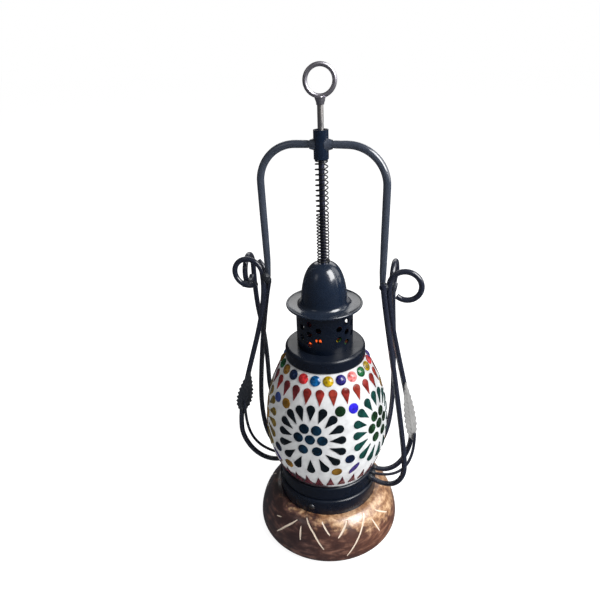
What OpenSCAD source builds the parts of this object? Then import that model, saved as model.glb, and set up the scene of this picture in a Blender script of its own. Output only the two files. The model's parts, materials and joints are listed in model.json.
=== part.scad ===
// Hanging mosaic tea light holder: a mosaic glass globe stands in a sheet metal
// cup on a turned wooden base, under a cap that a spring on the lift rod holds down.
// Millimetres, +Z up, origin at the centre of the base's underside.
// The bail lies in the XZ plane. Azimuths are in degrees from +X towards +Y.

/* [Wooden base] */
// Height of the turned base, up to the collar
base_h = 35.7; // [28:0.1:45]
// Radius at the belly
base_r = 57.6; // [52:0.1:66]
// Radius of the foot that stands on the table
base_foot_r = 46.3; // [40:0.1:50]
// Width of the wooden ledge left outside the collar
base_ledge = 2; // [0.6:0.1:4]
// Height of the belly above the table
base_belly_z = 7.4; // [5:0.1:12]
// Height of the spigot that the collar drum slips over
spigot_h = 9; // [6:0.1:11]

/* [Collar] */
// Outer radius of the drum, the lower tier
drum_r = 40; // [37:0.1:40.4]
// Height of the drum
drum_h = 13; // [11:0.1:18]
// Radius of the drum's rounded upper edge
drum_edge_r = 1.8; // [1:0.1:2.4]
// Width of the cup's rolled lip
cup_lip = 1.6; // [1.4:0.1:2.2]
// Height of the cup
cup_h = 11.8; // [9:0.1:14]
// Thickness of the sheet metal
sheet = 0.9; // [0.6:0.05:1.2]
// Azimuth of the first of the three collar screws
first_screw_az = -94; // [-120:1:-60]
// Diameter of a collar screw's head
screw_head_d = 5; // [4:0.1:6]
// Diameter of a collar screw's shank
screw_d = 2.4; // [2:0.1:3]
// Length of a collar screw under its head
screw_len = 9; // [6:0.1:12]
// Height of a collar screw's head
screw_head_h = 1.6; // [1:0.1:2.2]

/* [Globe] */
// Radius of the finished mosaic at the globe's belly
globe_r = 47.6; // [44:0.1:49]
// Height of the globe's belly above the cup's floor
globe_belly_h = 51; // [47:0.1:54]
// Half height of the ellipse that shapes the upper part
globe_upper_h = 75; // [70:0.1:80]
// Half height of the ellipse that shapes the lower part
globe_lower_h = 62; // [61.6:0.1:62.2]
// Thickness of the grout bed that holds the mosaic
grout_t = 2; // [1.6:0.1:2.6]
// Thickness of the glass barrel
glass_t = 2.4; // [2:0.1:3.2]
// Height of the straight glass neck inside the cap
neck_h = 6.5; // [5:0.1:7]

/* [Mosaic] */
// Number of round cabochons in the top row
cabochon_n = 22; // [16:1:22]
// Diameter of a cabochon
cabochon_d = 6.9; // [5:0.1:7.4]
// Number of ruby drops in the row under them
drop_n = 26; // [20:1:28]
// Length of a ruby drop
drop_len = 11.2; // [8:0.1:12]
// Width of a ruby drop
drop_w = 5; // [4:0.1:5.6]
// Number of rosettes round the globe
rosette_n = 5; // [4:1:5]
// Height of the rosettes above the cup's floor
rosette_h = 64.6; // [62:0.1:64.8]
// Number of petals in a rosette
petal_n = 16; // [12:1:16]
// Distance from a rosette's centre to a petal's tip
petal_in = 14.2; // [13.6:0.1:14.4]
// Length of a petal
petal_len = 12.2; // [10:0.1:12.4]
// Width of a petal
petal_w = 5.6; // [4:0.1:6]
// Diameter of a rosette's discs
disc_d = 6.9; // [5:0.1:7.2]
// Distance between neighbouring discs in a rosette
disc_gap = 9.1; // [8:0.1:9.4]
// Number of maroon triangles in the bottom row
tri_n = 28; // [20:1:30]
// Height of a triangle
tri_h = 8; // [6:0.1:9]
// Width of a triangle's foot
tri_w = 6.4; // [4:0.1:7]
// How far a chip stands proud of the grout
chip_proud = 0.35; // [0.2:0.05:0.6]
// Grout left under a chip
chip_bed = 0.55; // [0.45:0.05:0.8]

/* [Cap and hat] */
// Outer radius of the cap
cap_r = 30.1; // [29.6:0.1:31]
// Height of the cap's skirt
cap_h = 9.7; // [8:0.1:12]
// Radius of the cap's rounded edge
cap_edge_r = 2.6; // [1:0.1:3.2]
// Radius of the hot air opening in the cap
cap_hole_r = 16.5; // [12:0.1:18.5]
// Outer radius of the pierced chimney
chimney_r = 20.9; // [19:0.1:21.4]
// Height of the chimney
chimney_h = 31.3; // [28:0.1:36]
// Diameter of a pierced hole
pierce_d = 3.9; // [2.5:0.1:4.6]
// Distance between holes in a cluster of seven
pierce_gap = 8.2; // [6.5:0.1:8.8]
// Radius of the hat's brim
brim_r = 27.9; // [26:0.1:32]
// Radius where the dome meets the brim
dome_r = 18.4; // [16:0.1:18.8]
// Height of the dome above the brim
dome_h = 32.7; // [28:0.1:36]

/* [Lift rod and spring] */
// Diameter of the lift rod
rod_d = 4; // [3.2:0.1:4.6]
// Outer radius of the finger ring
ring_r = 10.7; // [9.6:0.1:14]
// Diameter of the finger ring's wire
ring_wire = 3; // [2:0.1:3.6]
// Rod left bare between the guide tube and the finger ring
rod_bare = 18.6; // [14:0.1:30]
// Turn of the finger ring from the bail's plane
ring_turn = 15; // [0:1:30]
// Outer diameter of the spring
spring_d = 9.2; // [8.4:0.1:9.6]
// Diameter of the spring's wire
spring_wire = 0.9; // [0.7:0.05:1]
// Number of spring turns in the wide upper part
spring_turns_upper = 11; // [8:1:14]
// Number of spring turns in the close lower part
spring_turns_lower = 16; // [12:1:18]
// Length of the spring at rest
spring_len = 71.9; // [66:0.1:84]

/* [Guide tube and bail] */
// Outer radius of the guide tube
tube_r = 4.95; // [4.8:0.05:5.6]
// Wall of the guide tube
tube_wall = 1.1; // [0.8:0.05:1.3]
// Length of the guide tube
tube_len = 18.5; // [14:0.1:24]
// Diameter of the bail rod
bail_d = 5.2; // [4:0.1:6]
// Distance from the axis to a bail leg at its widest
bail_half_w = 43.4; // [41:0.1:46]
// Distance from the axis to the foot of a bail leg
bail_foot_w = 41.8; // [40:0.1:44]
// Height of the bail's feet above the cup's floor
bail_foot_h = 167; // [160:0.1:172]
// Radius of the bail's bends, at the rod's middle
bail_bend_r = 26; // [18:0.1:30]

/* [Side rods] */
// Diameter of the side rods
side_d = 4; // [3.4:0.1:4.4]
// Radius of a curl at a rod's top, at the rod's middle
curl_r = 10.8; // [9:0.1:12]
// Height of the curls' centres above the cup's floor
curl_h = 171; // [168:0.1:174]
// Height of the rods' welds above the cup's floor
weld_h = 4.6; // [3.8:0.1:6]
// Greatest distance of the rods from the axis
side_belly_r = 68.5; // [64:0.1:72]
// Height of the rods' bellies above the cup's floor
side_belly_h = 38; // [32:0.1:46]
// Diameter of the leaf stems
stem_d = 2.3; // [1.8:0.1:2.8]

/* [Leaves] */
// Length of a leaf
leaf_len = 38; // [30:0.5:44]
// Width of a leaf
leaf_w = 14; // [10:0.5:16]
// Thickness of a leaf
leaf_t = 1; // [0.8:0.1:1.4]
// Height of the lower leaf's middle above the cup's floor
leaf_h = 56.4; // [50:0.1:62]
// Number of teeth along a leaf's edge
leaf_teeth = 6; // [4:1:8]

/* [Fits] */
// Gap between parts that rest on or beside each other
seat_gap = 0.3; // [0.2:0.05:0.4]
// Gap round a mosaic chip in its pocket
chip_gap = 0.12; // [0.08:0.02:0.2]
// Gap between welded rods
rod_gap = 0.1; // [0.05:0.05:0.2]
// Radial clearance of the spigot in the drum and of the rod in the hat
slip_gap = 0.15; // [0.1:0.05:0.3]
// Gap at each end of the spring
spring_gap = 0.15; // [0.1:0.05:0.3]

/* [Hidden] */

$fn = 64;
wall_n = 96;
floor_z = base_h + drum_h + sheet;
cup_top = base_h + drum_h + cup_h;
belly_z = floor_z + globe_belly_h;
cup_r = globe_at(cup_top) + seat_gap + cup_lip;
globe_bottom = floor_z + seat_gap;
cap_under = belly_z + globe_upper_h * sqrt(1 - pow((cap_r - sheet - seat_gap) / globe_r, 2));
cap_top = cap_under + cap_h;
rim_top = cap_top - sheet - seat_gap;
neck_z = rim_top - neck_h;
brim_z = cap_top + chimney_h;
dome_top = brim_z + dome_h;
tube_bottom = dome_top + spring_len;
tube_top = tube_bottom + tube_len;
bar_z = tube_bottom + tube_len / 2;
ring_mid_r = ring_r - ring_wire / 2;
ring_z = tube_top + rod_bare + ring_r;
curl_z = floor_z + curl_h;
foot_z = floor_z + bail_foot_h;
weld_z = floor_z + weld_h;
screw_az = [for (i = [0:2]) first_screw_az + 120 * i];

grout_heights = heights(cup_top - 4, cap_under + 1, 27);
cabochon_az = -88;
cabochon_z = floor_z + 105.9;
drop_az = -80.3;
drop_z = floor_z + 95.7;
rosette_z = floor_z + rosette_h;
rosette_az = -90;
tri_z = floor_z + 22.4;
pair_z = rosette_z + 21.2;
pair_side = 5.1;
seed_z = rosette_z - 18.5;
sprig_z = rosette_z - 29;
sprig_side = 6;
cluster_az = [-107, -26, 73, 154];

washer_d = 8;
washer_t = 0.8;
nut_w = 7;
nut_h = 3.2;
rod_bottom = dome_top - sheet - washer_t - nut_h - 4;

// A point from its distance to the axis, azimuth and height
function polar(r, az, z) = [r * cos(az), r * sin(az), z];
function unit(v) = v / norm(v);
function tail_of(list) = [for (i = [1:len(list) - 1]) list[i]];

// Radius of the finished mosaic surface at a height, less an inset all round
function globe_at(z, inset = 0) =
    let (h = (z > belly_z ? globe_upper_h : globe_lower_h) - inset)
    (globe_r - inset) * sqrt(max(0, 1 - pow((z - belly_z) / h, 2)));

// Lean of the surface at a height: 0 where it is upright, positive where it faces up
function globe_lean(z) = atan(globe_at(z - 0.5) - globe_at(z + 0.5));

// Heights at which the globe's profile is drawn
function heights(z0, z1, n) = [for (i = [0:n]) z0 + (z1 - z0) * i / n];

// One quarter of a superellipse from [r0, z0] out or in to [r1, z1]
function swell(r0, z0, r1, z1, power, n) = [for (i = [0:n]) let (a = 90 * i / n)
    [r0 + (r1 - r0) * pow(sin(a), 2 / power), z1 + (z0 - z1) * pow(cos(a), 2 / power)]];

module turned(profile) {
    rotate_extrude($fn = wall_n) polygon(profile);
}

// Turned wooden base with a rounded belly and a spigot for the collar
module wooden_base() {
    lower = swell(base_foot_r, 0, base_r, base_belly_z, 2.37, 7);
    upper = swell(drum_r + base_ledge, base_h, base_r, base_belly_z, 1.64, 14);
    spigot_r = drum_r - sheet - slip_gap;
    color("saddlebrown")
    difference() {
        turned(concat([[0, 0]], lower, [for (i = [13:-1:0]) upper[i]],
            [[spigot_r, base_h], [spigot_r, base_h + spigot_h], [0, base_h + spigot_h]]));
        for (az = screw_az) screw_at(az) translate([0, 0, -screw_len - 1])
            cylinder(d = screw_d + 2 * rod_gap, h = screw_len + 2, $fn = 24);
    }
}

// Puts a child on the drum's side wall, its z axis pointing outward
module screw_at(az) {
    rotate([0, 0, az]) translate([drum_r, 0, base_h + drum_h / 2]) rotate([0, 90, 0]) children();
}

// Sheet profile of a rounded upper edge: its outer and inner quarter circles
function edge_out(r, z, edge) = [for (a = [0:15:90])
    [r - edge + edge * cos(a), z - edge + edge * sin(a)]];
function edge_in(r, z, edge) = [for (a = [90:-15:0])
    [r - edge + (edge - sheet) * cos(a), z - edge + (edge - sheet) * sin(a)]];

// Drum: an inverted pan with a rounded upper edge
module collar_drum() {
    top = base_h + drum_h;
    color([0.08, 0.09, 0.11])
    difference() {
        turned(concat([[drum_r, base_h]], edge_out(drum_r, top, drum_edge_r),
            [[0, top], [0, top - sheet]], edge_in(drum_r, top, drum_edge_r),
            [[drum_r - sheet, base_h]]));
        for (az = screw_az) screw_at(az) translate([0, 0, -3])
            cylinder(d = screw_d + 2 * slip_gap, h = 5, $fn = 24);
    }
}

// Cup: a shallow pan on the drum, its wall rolled inward round the globe's foot
module collar_cup() {
    z0 = base_h + drum_h;
    color([0.08, 0.09, 0.11])
    turned(concat([[0, z0], [cup_r - 1, z0], [cup_r, z0 + 1]],
        edge_out(cup_r, cup_top, cup_lip), edge_in(cup_r, cup_top, cup_lip),
        [[cup_r - sheet, z0 + sheet + 0.4], [cup_r - sheet - 0.4, z0 + sheet], [0, z0 + sheet]]));
}

// Round-headed screws through the drum's wall into the wood
module collar_screws() {
    ball_r = (pow(screw_head_d / 2, 2) + pow(screw_head_h, 2)) / (2 * screw_head_h);
    slot = 0.6;
    color("dimgray")
    for (az = screw_az) screw_at(az) difference() {
        union() {
            intersection() {
                translate([0, 0, screw_head_h - ball_r]) sphere(r = ball_r, $fn = 48);
                translate([0, 0, rod_gap]) cylinder(d = screw_head_d, h = screw_head_h, $fn = 48);
            }
            translate([0, 0, -screw_len])
                cylinder(d = screw_d, h = screw_len + screw_head_h / 2, $fn = 24);
        }
        translate([-screw_head_d, -slot / 2, screw_head_h - slot])
            cube([2 * screw_head_d, slot, 2 * slot]);
    }
}

// Glass barrel: open at the foot over the tea light and at the neck under the cap
module glass_barrel() {
    zs = concat([globe_bottom], grout_heights, [neck_z]);
    outer = [for (z = zs) [globe_at(z, grout_t), z]];
    inner = [for (i = [len(zs) - 1:-1:0]) [globe_at(zs[i], grout_t + glass_t), zs[i]]];
    color([0.85, 0.9, 0.92, 0.6])
    turned(concat(outer, [[outer[len(zs) - 1][0], rim_top], [inner[0][0], rim_top]], inner));
}

// Puts a child on the mosaic's surface: x to the right, y up, z outward
module on_globe(az, z) {
    translate(polar(globe_at(z), az, z))
        rotate([0, 90 - globe_lean(z), az]) rotate([0, 0, 90]) children();
}

// Steps along the surface from a centre: where dx to the right and dy up leads
function step_z(z, dy) = z + dy * cos(globe_lean(z + dy / 2));
function step_az(az, z, dx) = az + dx / globe_at(z) * 180 / PI;

// A pointed drop, its tip at the left and its round head at the right
module drop_2d(length, width, grow = 0) {
    head = width / 2;
    reach = length - head;
    spread = acos(head / reach);
    offset_x = length / 2 - head;
    polygon(concat([[offset_x - reach - grow * reach / head, 0]],
        [for (i = [0:12]) let (a = -(180 - spread) + i * (360 - 2 * spread) / 12)
            [offset_x + (head + grow) * cos(a), (head + grow) * sin(a)]]));
}

module disc_2d(d, grow = 0) {
    circle(d = d + 2 * grow, $fn = 32);
}

module leaf_chip_2d(length, width, grow = 0) {
    polygon([for (i = [0:19]) let (a = i * 18, s = sin(a))
        [(length / 2 + grow) * cos(a), (width / 2 + grow) * s * sqrt(abs(s))]]);
}

module triangle_2d(height, width, grow = 0) {
    polygon([[-width / 2 - grow, -height / 2 - grow], [width / 2 + grow, -height / 2 - grow],
        [0, height / 2 + 1.5 * grow]]);
}

// A flat chip in the grout, or with a grown outline its pocket
module chip(grow = 0) {
    top = chip_proud + (grow > 0 ? 2 : 0);
    translate([0, 0, chip_bed - grout_t - grow]) linear_extrude(grout_t - chip_bed + top + grow)
        children();
}

// Every row of the mosaic, drawn as chips or as the pockets that hold them
module cabochon_row(grow = 0) {
    for (i = [0:cabochon_n - 1]) on_globe(cabochon_az + i * 360 / cabochon_n, cabochon_z) {
        chip(grow) disc_2d(cabochon_d, grow);
        if (grow == 0) difference() {
            rise = 1.5;
            ball_r = (pow(cabochon_d / 2, 2) + rise * rise) / (2 * rise);
            translate([0, 0, chip_proud + rise - ball_r]) sphere(r = ball_r, $fn = 40);
            translate([0, 0, chip_proud - 2 * ball_r])
                cylinder(r = 2 * ball_r, h = 2 * ball_r, $fn = 40);
        }
    }
}

module drop_row(grow = 0) {
    for (i = [0:drop_n - 1]) on_globe(drop_az + i * 360 / drop_n, drop_z)
        rotate([0, 0, 90]) chip(grow) drop_2d(drop_len, drop_w, grow);
}

module disc_rows(grow = 0) {
    for (k = [0:rosette_n - 1]) {
        az = rosette_az + k * 360 / rosette_n;
        on_globe(az, rosette_z) chip(grow) disc_2d(disc_d, grow);
        for (j = [0:5]) {
            z = step_z(rosette_z, disc_gap * sin(60 * j));
            on_globe(step_az(az, z, disc_gap * cos(60 * j)), z) chip(grow) disc_2d(disc_d, grow);
        }
    }
}

module petal_rows(grow = 0) {
    reach = petal_in + petal_len / 2;
    for (k = [0:rosette_n - 1], j = [0:petal_n - 1]) {
        turn = (j + 0.5) * 360 / petal_n;
        z = step_z(rosette_z, reach * sin(turn));
        az = step_az(rosette_az + k * 360 / rosette_n, z, reach * cos(turn));
        on_globe(az, z) rotate([0, 0, turn]) chip(grow) drop_2d(petal_len, petal_w, grow);
    }
}

module filler_rows(grow = 0) {
    for (k = [0:rosette_n - 1]) {
        az = rosette_az + (k + 0.5) * 360 / rosette_n;
        for (side = [-1, 1])
            on_globe(step_az(az, pair_z, side * pair_side), pair_z) chip(grow) disc_2d(disc_d, grow);
        on_globe(az, seed_z) chip(grow) disc_2d(disc_d, grow);
        for (side = [-1, 1])
            on_globe(step_az(az, sprig_z, side * sprig_side), sprig_z)
                rotate([0, 0, side * 38]) chip(grow) leaf_chip_2d(8.6, 5, grow);
    }
}

module triangle_row(grow = 0) {
    for (i = [0:tri_n - 1]) on_globe(rosette_az + (i + 0.5) * 360 / tri_n, tri_z)
        chip(grow) triangle_2d(tri_h, tri_w, grow);
}

// Grout: the pale bed round the glass, with a pocket for every chip
module grout() {
    outer = [for (z = grout_heights) [globe_at(z), z]];
    inner = [for (i = [len(grout_heights) - 1:-1:0])
        [globe_at(grout_heights[i], grout_t), grout_heights[i]]];
    color("gainsboro")
    difference() {
        turned(concat(outer, inner));
        cabochon_row(chip_gap);
        drop_row(chip_gap);
        disc_rows(chip_gap);
        petal_rows(chip_gap);
        filler_rows(chip_gap);
        triangle_row(chip_gap);
    }
}

module cabochons() { color("goldenrod") cabochon_row(); }
module ruby_drops() { color("firebrick") drop_row(); }
module rosette_discs() { color([0.05, 0.2, 0.3]) disc_rows(); }
module rosette_petals() { color([0.05, 0.25, 0.2]) petal_rows(); }
module filler_chips() { color("mediumblue") filler_rows(); }
module maroon_triangles() { color([0.4, 0.08, 0.12]) triangle_row(); }

// Cap: a shallow lid with a rounded edge that seats over the globe's neck
module cap() {
    color([0.08, 0.09, 0.11])
    turned(concat([[cap_r, cap_under]], edge_out(cap_r, cap_top, cap_edge_r),
        [[cap_hole_r, cap_top], [cap_hole_r, cap_top - sheet]],
        edge_in(cap_r, cap_top, cap_edge_r), [[cap_r - sheet, cap_under]]));
}

// Chimney: a sheet cylinder pierced with four clusters of seven holes
module chimney() {
    color([0.07, 0.08, 0.1])
    difference() {
        translate([0, 0, cap_top]) cylinder(r = chimney_r, h = chimney_h, $fn = 96);
        translate([0, 0, cap_top - 1]) cylinder(r = chimney_r - sheet, h = chimney_h + 2, $fn = 96);
        for (az = cluster_az) {
            pierce(az, 0);
            for (a = [30:60:330])
                pierce(az + pierce_gap * cos(a) / chimney_r * 180 / PI, pierce_gap * sin(a));
        }
    }
}

module pierce(az, dz) {
    rotate([0, 0, az]) translate([chimney_r - sheet - 1, 0, cap_top + chimney_h / 2 + dz])
        rotate([0, 90, 0]) cylinder(d = pierce_d, h = sheet + 2, $fn = 24);
}

// Radius of the hat's dome at a height above the brim
function dome_at(h) =
    let (flare = dome_r * 0.08, flare_h = dome_h * 0.2, crown = min(1, h / dome_h))
    (dome_r - flare) * pow(1 - crown * crown, 1 / 3)
    + flare * pow(max(0, 1 - h / flare_h), 2);

// Hat: a bell-shaped dome with a dished brim and a rolled rim
module hat() {
    lift = 0.9;
    flat = 0.985;
    bead = 0.8;
    bore = rod_d / 2 + slip_gap;
    levels = [for (i = [0:16]) sin(i * 90 / 16)];
    brim = [for (i = [0:3]) [brim_r - bead - i * (brim_r - bead - chimney_r) / 4, lift * pow(1 - i / 4, 2)]];
    outer = concat([for (p = brim) [p[0], brim_z + sheet + p[1]]], [[dome_r + 0.4, brim_z + sheet]],
        [for (f = levels) [dome_at(f * flat * dome_h), brim_z + sheet + f * (dome_h - sheet)]]);
    inner = concat(
        [for (i = [16:-1:0])
            [dome_at(levels[i] * flat * dome_h) - sheet, brim_z + levels[i] * (dome_h - sheet)]],
        [for (i = [3:-1:0]) [brim[i][0] + (i == 3 ? 0.3 : 0), brim_z + (i == 3 ? 0 : brim[i][1])]]);
    color([0.09, 0.12, 0.16])
    rotate_extrude($fn = wall_n) {
        polygon(concat(outer, [[bore, dome_top], [bore, dome_top - sheet]], inner));
        translate([brim_r - bead, brim_z + lift + sheet / 2]) circle(r = bead, $fn = 24);
    }
}

// Washer and nut that hold the hat on the lift rod, inside the dome
module dome_washer() {
    color("silver")
    translate([0, 0, dome_top - sheet - washer_t]) difference() {
        cylinder(d = washer_d, h = washer_t);
        translate([0, 0, -1]) cylinder(d = rod_d + 2 * slip_gap, h = washer_t + 2);
    }
}

module dome_nut() {
    color("silver")
    translate([0, 0, dome_top - sheet - washer_t - nut_h]) difference() {
        cylinder(d = nut_w / cos(30), h = nut_h, $fn = 6);
        translate([0, 0, -1]) cylinder(d = rod_d + 2 * rod_gap, h = nut_h + 2);
    }
}

// Lift rod from the nut inside the dome up to the finger ring
module lift_rod() {
    color("slategray")
    difference() {
        translate([0, 0, rod_bottom]) cylinder(d = rod_d, h = ring_z - ring_mid_r - rod_bottom);
        finger_ring_shape();
    }
}

module finger_ring_shape() {
    translate([0, 0, ring_z]) rotate([90, 0, ring_turn])
        rotate_extrude($fn = 96) translate([ring_mid_r, 0]) circle(d = ring_wire, $fn = 32);
}

module finger_ring() {
    color([0.1, 0.11, 0.13]) finger_ring_shape();
}

// Flared weld between the rod and the finger ring
module ring_weld() {
    color([0.15, 0.16, 0.18])
    difference() {
        translate([0, 0, ring_z - ring_r - 3.6])
            cylinder(r1 = rod_d / 2 + 0.4, r2 = rod_d / 2 + 1.6, h = 4.6);
        finger_ring_shape();
        lift_rod();
    }
}

// One point for every ring of a swept tube, then its walls and end caps
module sweep(path, radius, sides) {
    count = len(path);
    ways = [for (i = [0:count - 1]) unit(path[min(i + 1, count - 1)] - path[max(i - 1, 0)])];
    normals = carried(ways, [unit(cross(ways[0], abs(ways[0][2]) < 0.9 ? [0, 0, 1] : [0, 1, 0]))]);
    rings = [for (i = [0:count - 1]) let (u = normals[i], v = cross(ways[i], u))
        for (k = [0:sides - 1]) let (a = k * 360 / sides)
            path[i] + radius * (cos(a) * u + sin(a) * v)];
    walls = [for (i = [0:count - 2], k = [0:sides - 1])
        let (a = i * sides + k, b = i * sides + (k + 1) % sides)
        each [[a, a + sides, b], [b, a + sides, b + sides]]];
    polyhedron(rings, concat(walls,
        [[for (k = [0:sides - 1]) k]],
        [[for (k = [sides - 1:-1:0]) (count - 1) * sides + k]]));
}

// Carries the first normal along the path without twisting it
function carried(ways, normals) =
    len(normals) == len(ways) ? normals :
    let (n = normals[len(normals) - 1], w = ways[len(normals)])
    carried(ways, concat(normals, [unit(n - (n * w) * w)]));

function bezier(a, b, c, d, n) = [for (i = [0:n]) let (t = i / n, s = 1 - t)
    s * s * s * a + 3 * s * s * t * b + 3 * s * t * t * c + t * t * t * d];

// Spring: open turns above, closer turns below, round the lift rod
function spring_point(turns) =
    let (wound = turns < spring_turns_lower
            ? turns / spring_turns_lower / 2
            : 0.5 + (turns - spring_turns_lower) / spring_turns_upper / 2,
         mid_r = (spring_d - spring_wire) / 2,
         first = dome_top + spring_wire / 2 + spring_gap,
         last = tube_bottom - spring_wire / 2 - spring_gap)
    polar(mid_r, turns * 360, first + (last - first) * wound);
spring_path = [for (i = [0:8 * (spring_turns_lower + spring_turns_upper)]) spring_point(i / 8)];
spring_clear = min([for (i = [0:len(spring_path) - 9])
    norm(spring_path[i + 8] - spring_path[i])]) - spring_wire;

module spring() {
    echo(spring_least_gap = spring_clear);
    color([0.2, 0.21, 0.22]) sweep(spring_path, spring_wire / 2, 6);
}

// Guide tube that the lift rod slides in
module guide_tube() {
    color([0.08, 0.1, 0.12])
    translate([0, 0, tube_bottom]) difference() {
        cylinder(r = tube_r, h = tube_len);
        translate([0, 0, -1]) cylinder(r = tube_r - tube_wall, h = tube_len + 2);
    }
}

// Path of half the bail: an arm from the guide tube, a bend and a leg
bend_x = bail_half_w - bail_bend_r;
bend_z = bar_z - bail_bend_r;
leg_lean = asin(bail_bend_r / norm([bail_foot_w - bend_x, bend_z - foot_z]))
    - atan2(bail_foot_w - bend_x, bend_z - foot_z);
bail_path = concat([[1, 0, bar_z]],
    [for (i = [0:16]) let (a = 90 - i * (90 + leg_lean) / 16)
        [bend_x + bail_bend_r * cos(a), 0, bend_z + bail_bend_r * sin(a)]],
    [[bail_foot_w, 0, foot_z]]);

module bail_half() {
    difference() {
        sweep(bail_path, bail_d / 2, 16);
        translate([0, 0, tube_bottom - 1]) cylinder(r = tube_r, h = tube_len + 2);
    }
}

module bail_left() { color([0.08, 0.1, 0.12]) mirror([1, 0, 0]) bail_half(); }
module bail_right() { color([0.08, 0.1, 0.12]) bail_half(); }

// Weld collars where the bail's arms meet the guide tube
module tube_welds() {
    color([0.15, 0.16, 0.18])
    for (side = [-1, 1]) difference() {
        translate([side * (tube_r - 2), 0, bar_z]) rotate([0, side * 90, 0])
            cylinder(r1 = bail_d / 2 + 1.8, r2 = bail_d / 2 + 0.4, h = 4.6, $fn = 32);
        translate([0, 0, tube_bottom]) cylinder(r = tube_r, h = tube_len);
        translate([0, 0, bar_z]) rotate([0, side * 90, 0]) cylinder(d = bail_d, h = 20, $fn = 32);
    }
}

// A side rod from its curl or tip at the top, out to its belly and in to its weld
function rod_route(top, belly, weld_az) =
    let (weld = polar(cup_r + side_d / 4, weld_az, weld_z), out = polar(1, weld_az, 0),
         fall = [0, 0, 1])
    concat(bezier(top, top - 22 * fall, belly + 45 * fall, belly, 14),
        tail_of(bezier(belly, belly - 22 * fall, weld + 20 * out - 6 * fall, weld, 14)));

// A curl in an upright plane: from its tucked-in tip over the top and down to the rod
function curl(centre, plane_az) =
    [for (i = [28:-1:1]) let (a = i * curl_turn / 28, r = curl_r * (1 - curl_tuck * a / 360))
        centre + r * (-cos(a) * [cos(plane_az), sin(plane_az), 0] + sin(a) * [0, 0, 1])];

function curl_start(centre, plane_az) = centre - curl_r * [cos(plane_az), sin(plane_az), 0];

leg_out = bail_foot_w + bail_d / 2 + side_d / 2 + 2 * rod_gap;
curl_turn = 308;
curl_tuck = 0.17;
curl_left = [-leg_out - curl_r, 0, curl_z];
curl_right = [leg_out + curl_r, 0, curl_z];
rear_curl_left = [-59.5, 15, curl_z - 2.5];
rear_curl_right = [leg_out + 1, curl_r + side_d + 0.4, curl_z];
rear_az_left = 115;

path_left_front = concat(curl(curl_left, 180),
    rod_route(curl_start(curl_left, 180), polar(side_belly_r - 1, 190, floor_z + side_belly_h - 2), 190));
path_left_middle = concat(
    bezier([-52.5, 8.8, curl_z + 7], [-49, 7.6, curl_z + 4], [-45, 5.6, curl_z], [-44, 5.2, curl_z - 8], 8),
    tail_of(rod_route([-44, 5.2, curl_z - 8], polar(side_belly_r - 1, 161, floor_z + side_belly_h + 8), 163)));
path_left_rear = concat(curl(rear_curl_left, rear_az_left + 180),
    rod_route(curl_start(rear_curl_left, rear_az_left + 180),
        polar(side_belly_r + 1, 142, floor_z + side_belly_h + 6), 146));
path_right_front = rod_route([43.4, -side_d - 0.9, curl_z + 2],
    polar(side_belly_r - 2, -13, floor_z + side_belly_h - 8), -13);
path_right_middle = concat(curl(curl_right, 0),
    rod_route(curl_start(curl_right, 0), polar(side_belly_r - 1, 3, floor_z + side_belly_h), 8));
path_right_rear = concat(curl(rear_curl_right, -90),
    rod_route(curl_start(rear_curl_right, -90), polar(side_belly_r - 1, 43, floor_z + side_belly_h), 40));

module side_rod(path) { color([0.07, 0.08, 0.1]) sweep(path, side_d / 2, 10); }
module rod_left_front() { side_rod(path_left_front); }
module rod_left_middle() { side_rod(path_left_middle); }
module rod_left_rear() { side_rod(path_left_rear); }
module rod_right_front() { side_rod(path_right_front); }
module rod_right_middle() { side_rod(path_right_middle); }
module rod_right_rear() { side_rod(path_right_rear); }

// Leaves: each stands on a thin stem that runs along its back and down to the cup
leaf_left_at = [-66, -6.3, floor_z + leaf_h];
leaf_right_at = [67.5, 0, floor_z + leaf_h + 10];
leaf_left_az = 160;
leaf_right_az = 60;

// Way from a leaf's face to its stem, on the side of the globe
function stem_side(plane_az, side, along) =
    side * (stem_d / 2 + rod_gap + (side > 0 ? leaf_t : 0)) * [sin(plane_az), -cos(plane_az), 0]
    + along * polar(1, plane_az, 0);

function stem_route(start, weld_az) =
    let (fall = [0, 0, 1], out = polar(1, weld_az, 0),
         weld = polar(cup_r + stem_d / 2, weld_az, weld_z))
    bezier(start, start - 30 * fall, weld + 18 * out, weld, 20);

module stem_left() {
    color([0.07, 0.08, 0.1])
    sweep(stem_route(leaf_left_at + stem_side(leaf_left_az, 1, -1.5), 180), stem_d / 2, 8);
}

module stem_right() {
    color([0.07, 0.08, 0.1])
    sweep(stem_route(leaf_right_at + stem_side(leaf_right_az, -1, -1.5), -2), stem_d / 2, 8);
}

// Serrated leaf outline, its tip up
module leaf_2d() {
    half = [for (i = [0:2 * leaf_teeth]) let (t = i / (2 * leaf_teeth),
            tooth = i % 2 == 1 ? 1 : 0.78)
        [leaf_w / 2 * tooth * pow(sin(180 * min(1, t * 0.92 + 0.08)), 0.7), t * leaf_len]];
    polygon(concat(half, [for (i = [len(half) - 1:-1:0]) [-half[i][0], half[i][1]]]));
}

module leaf(place, plane_az, slant) {
    color([0.2, 0.21, 0.23])
    translate(place) rotate([0, 0, plane_az]) rotate([90, 0, 0]) rotate([0, 0, slant])
        translate([0, -leaf_len / 2, 0]) linear_extrude(leaf_t) leaf_2d();
}

module leaf_left() { leaf(leaf_left_at, leaf_left_az, -12); }
module leaf_right() { leaf(leaf_right_at, leaf_right_az, 8); }

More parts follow.
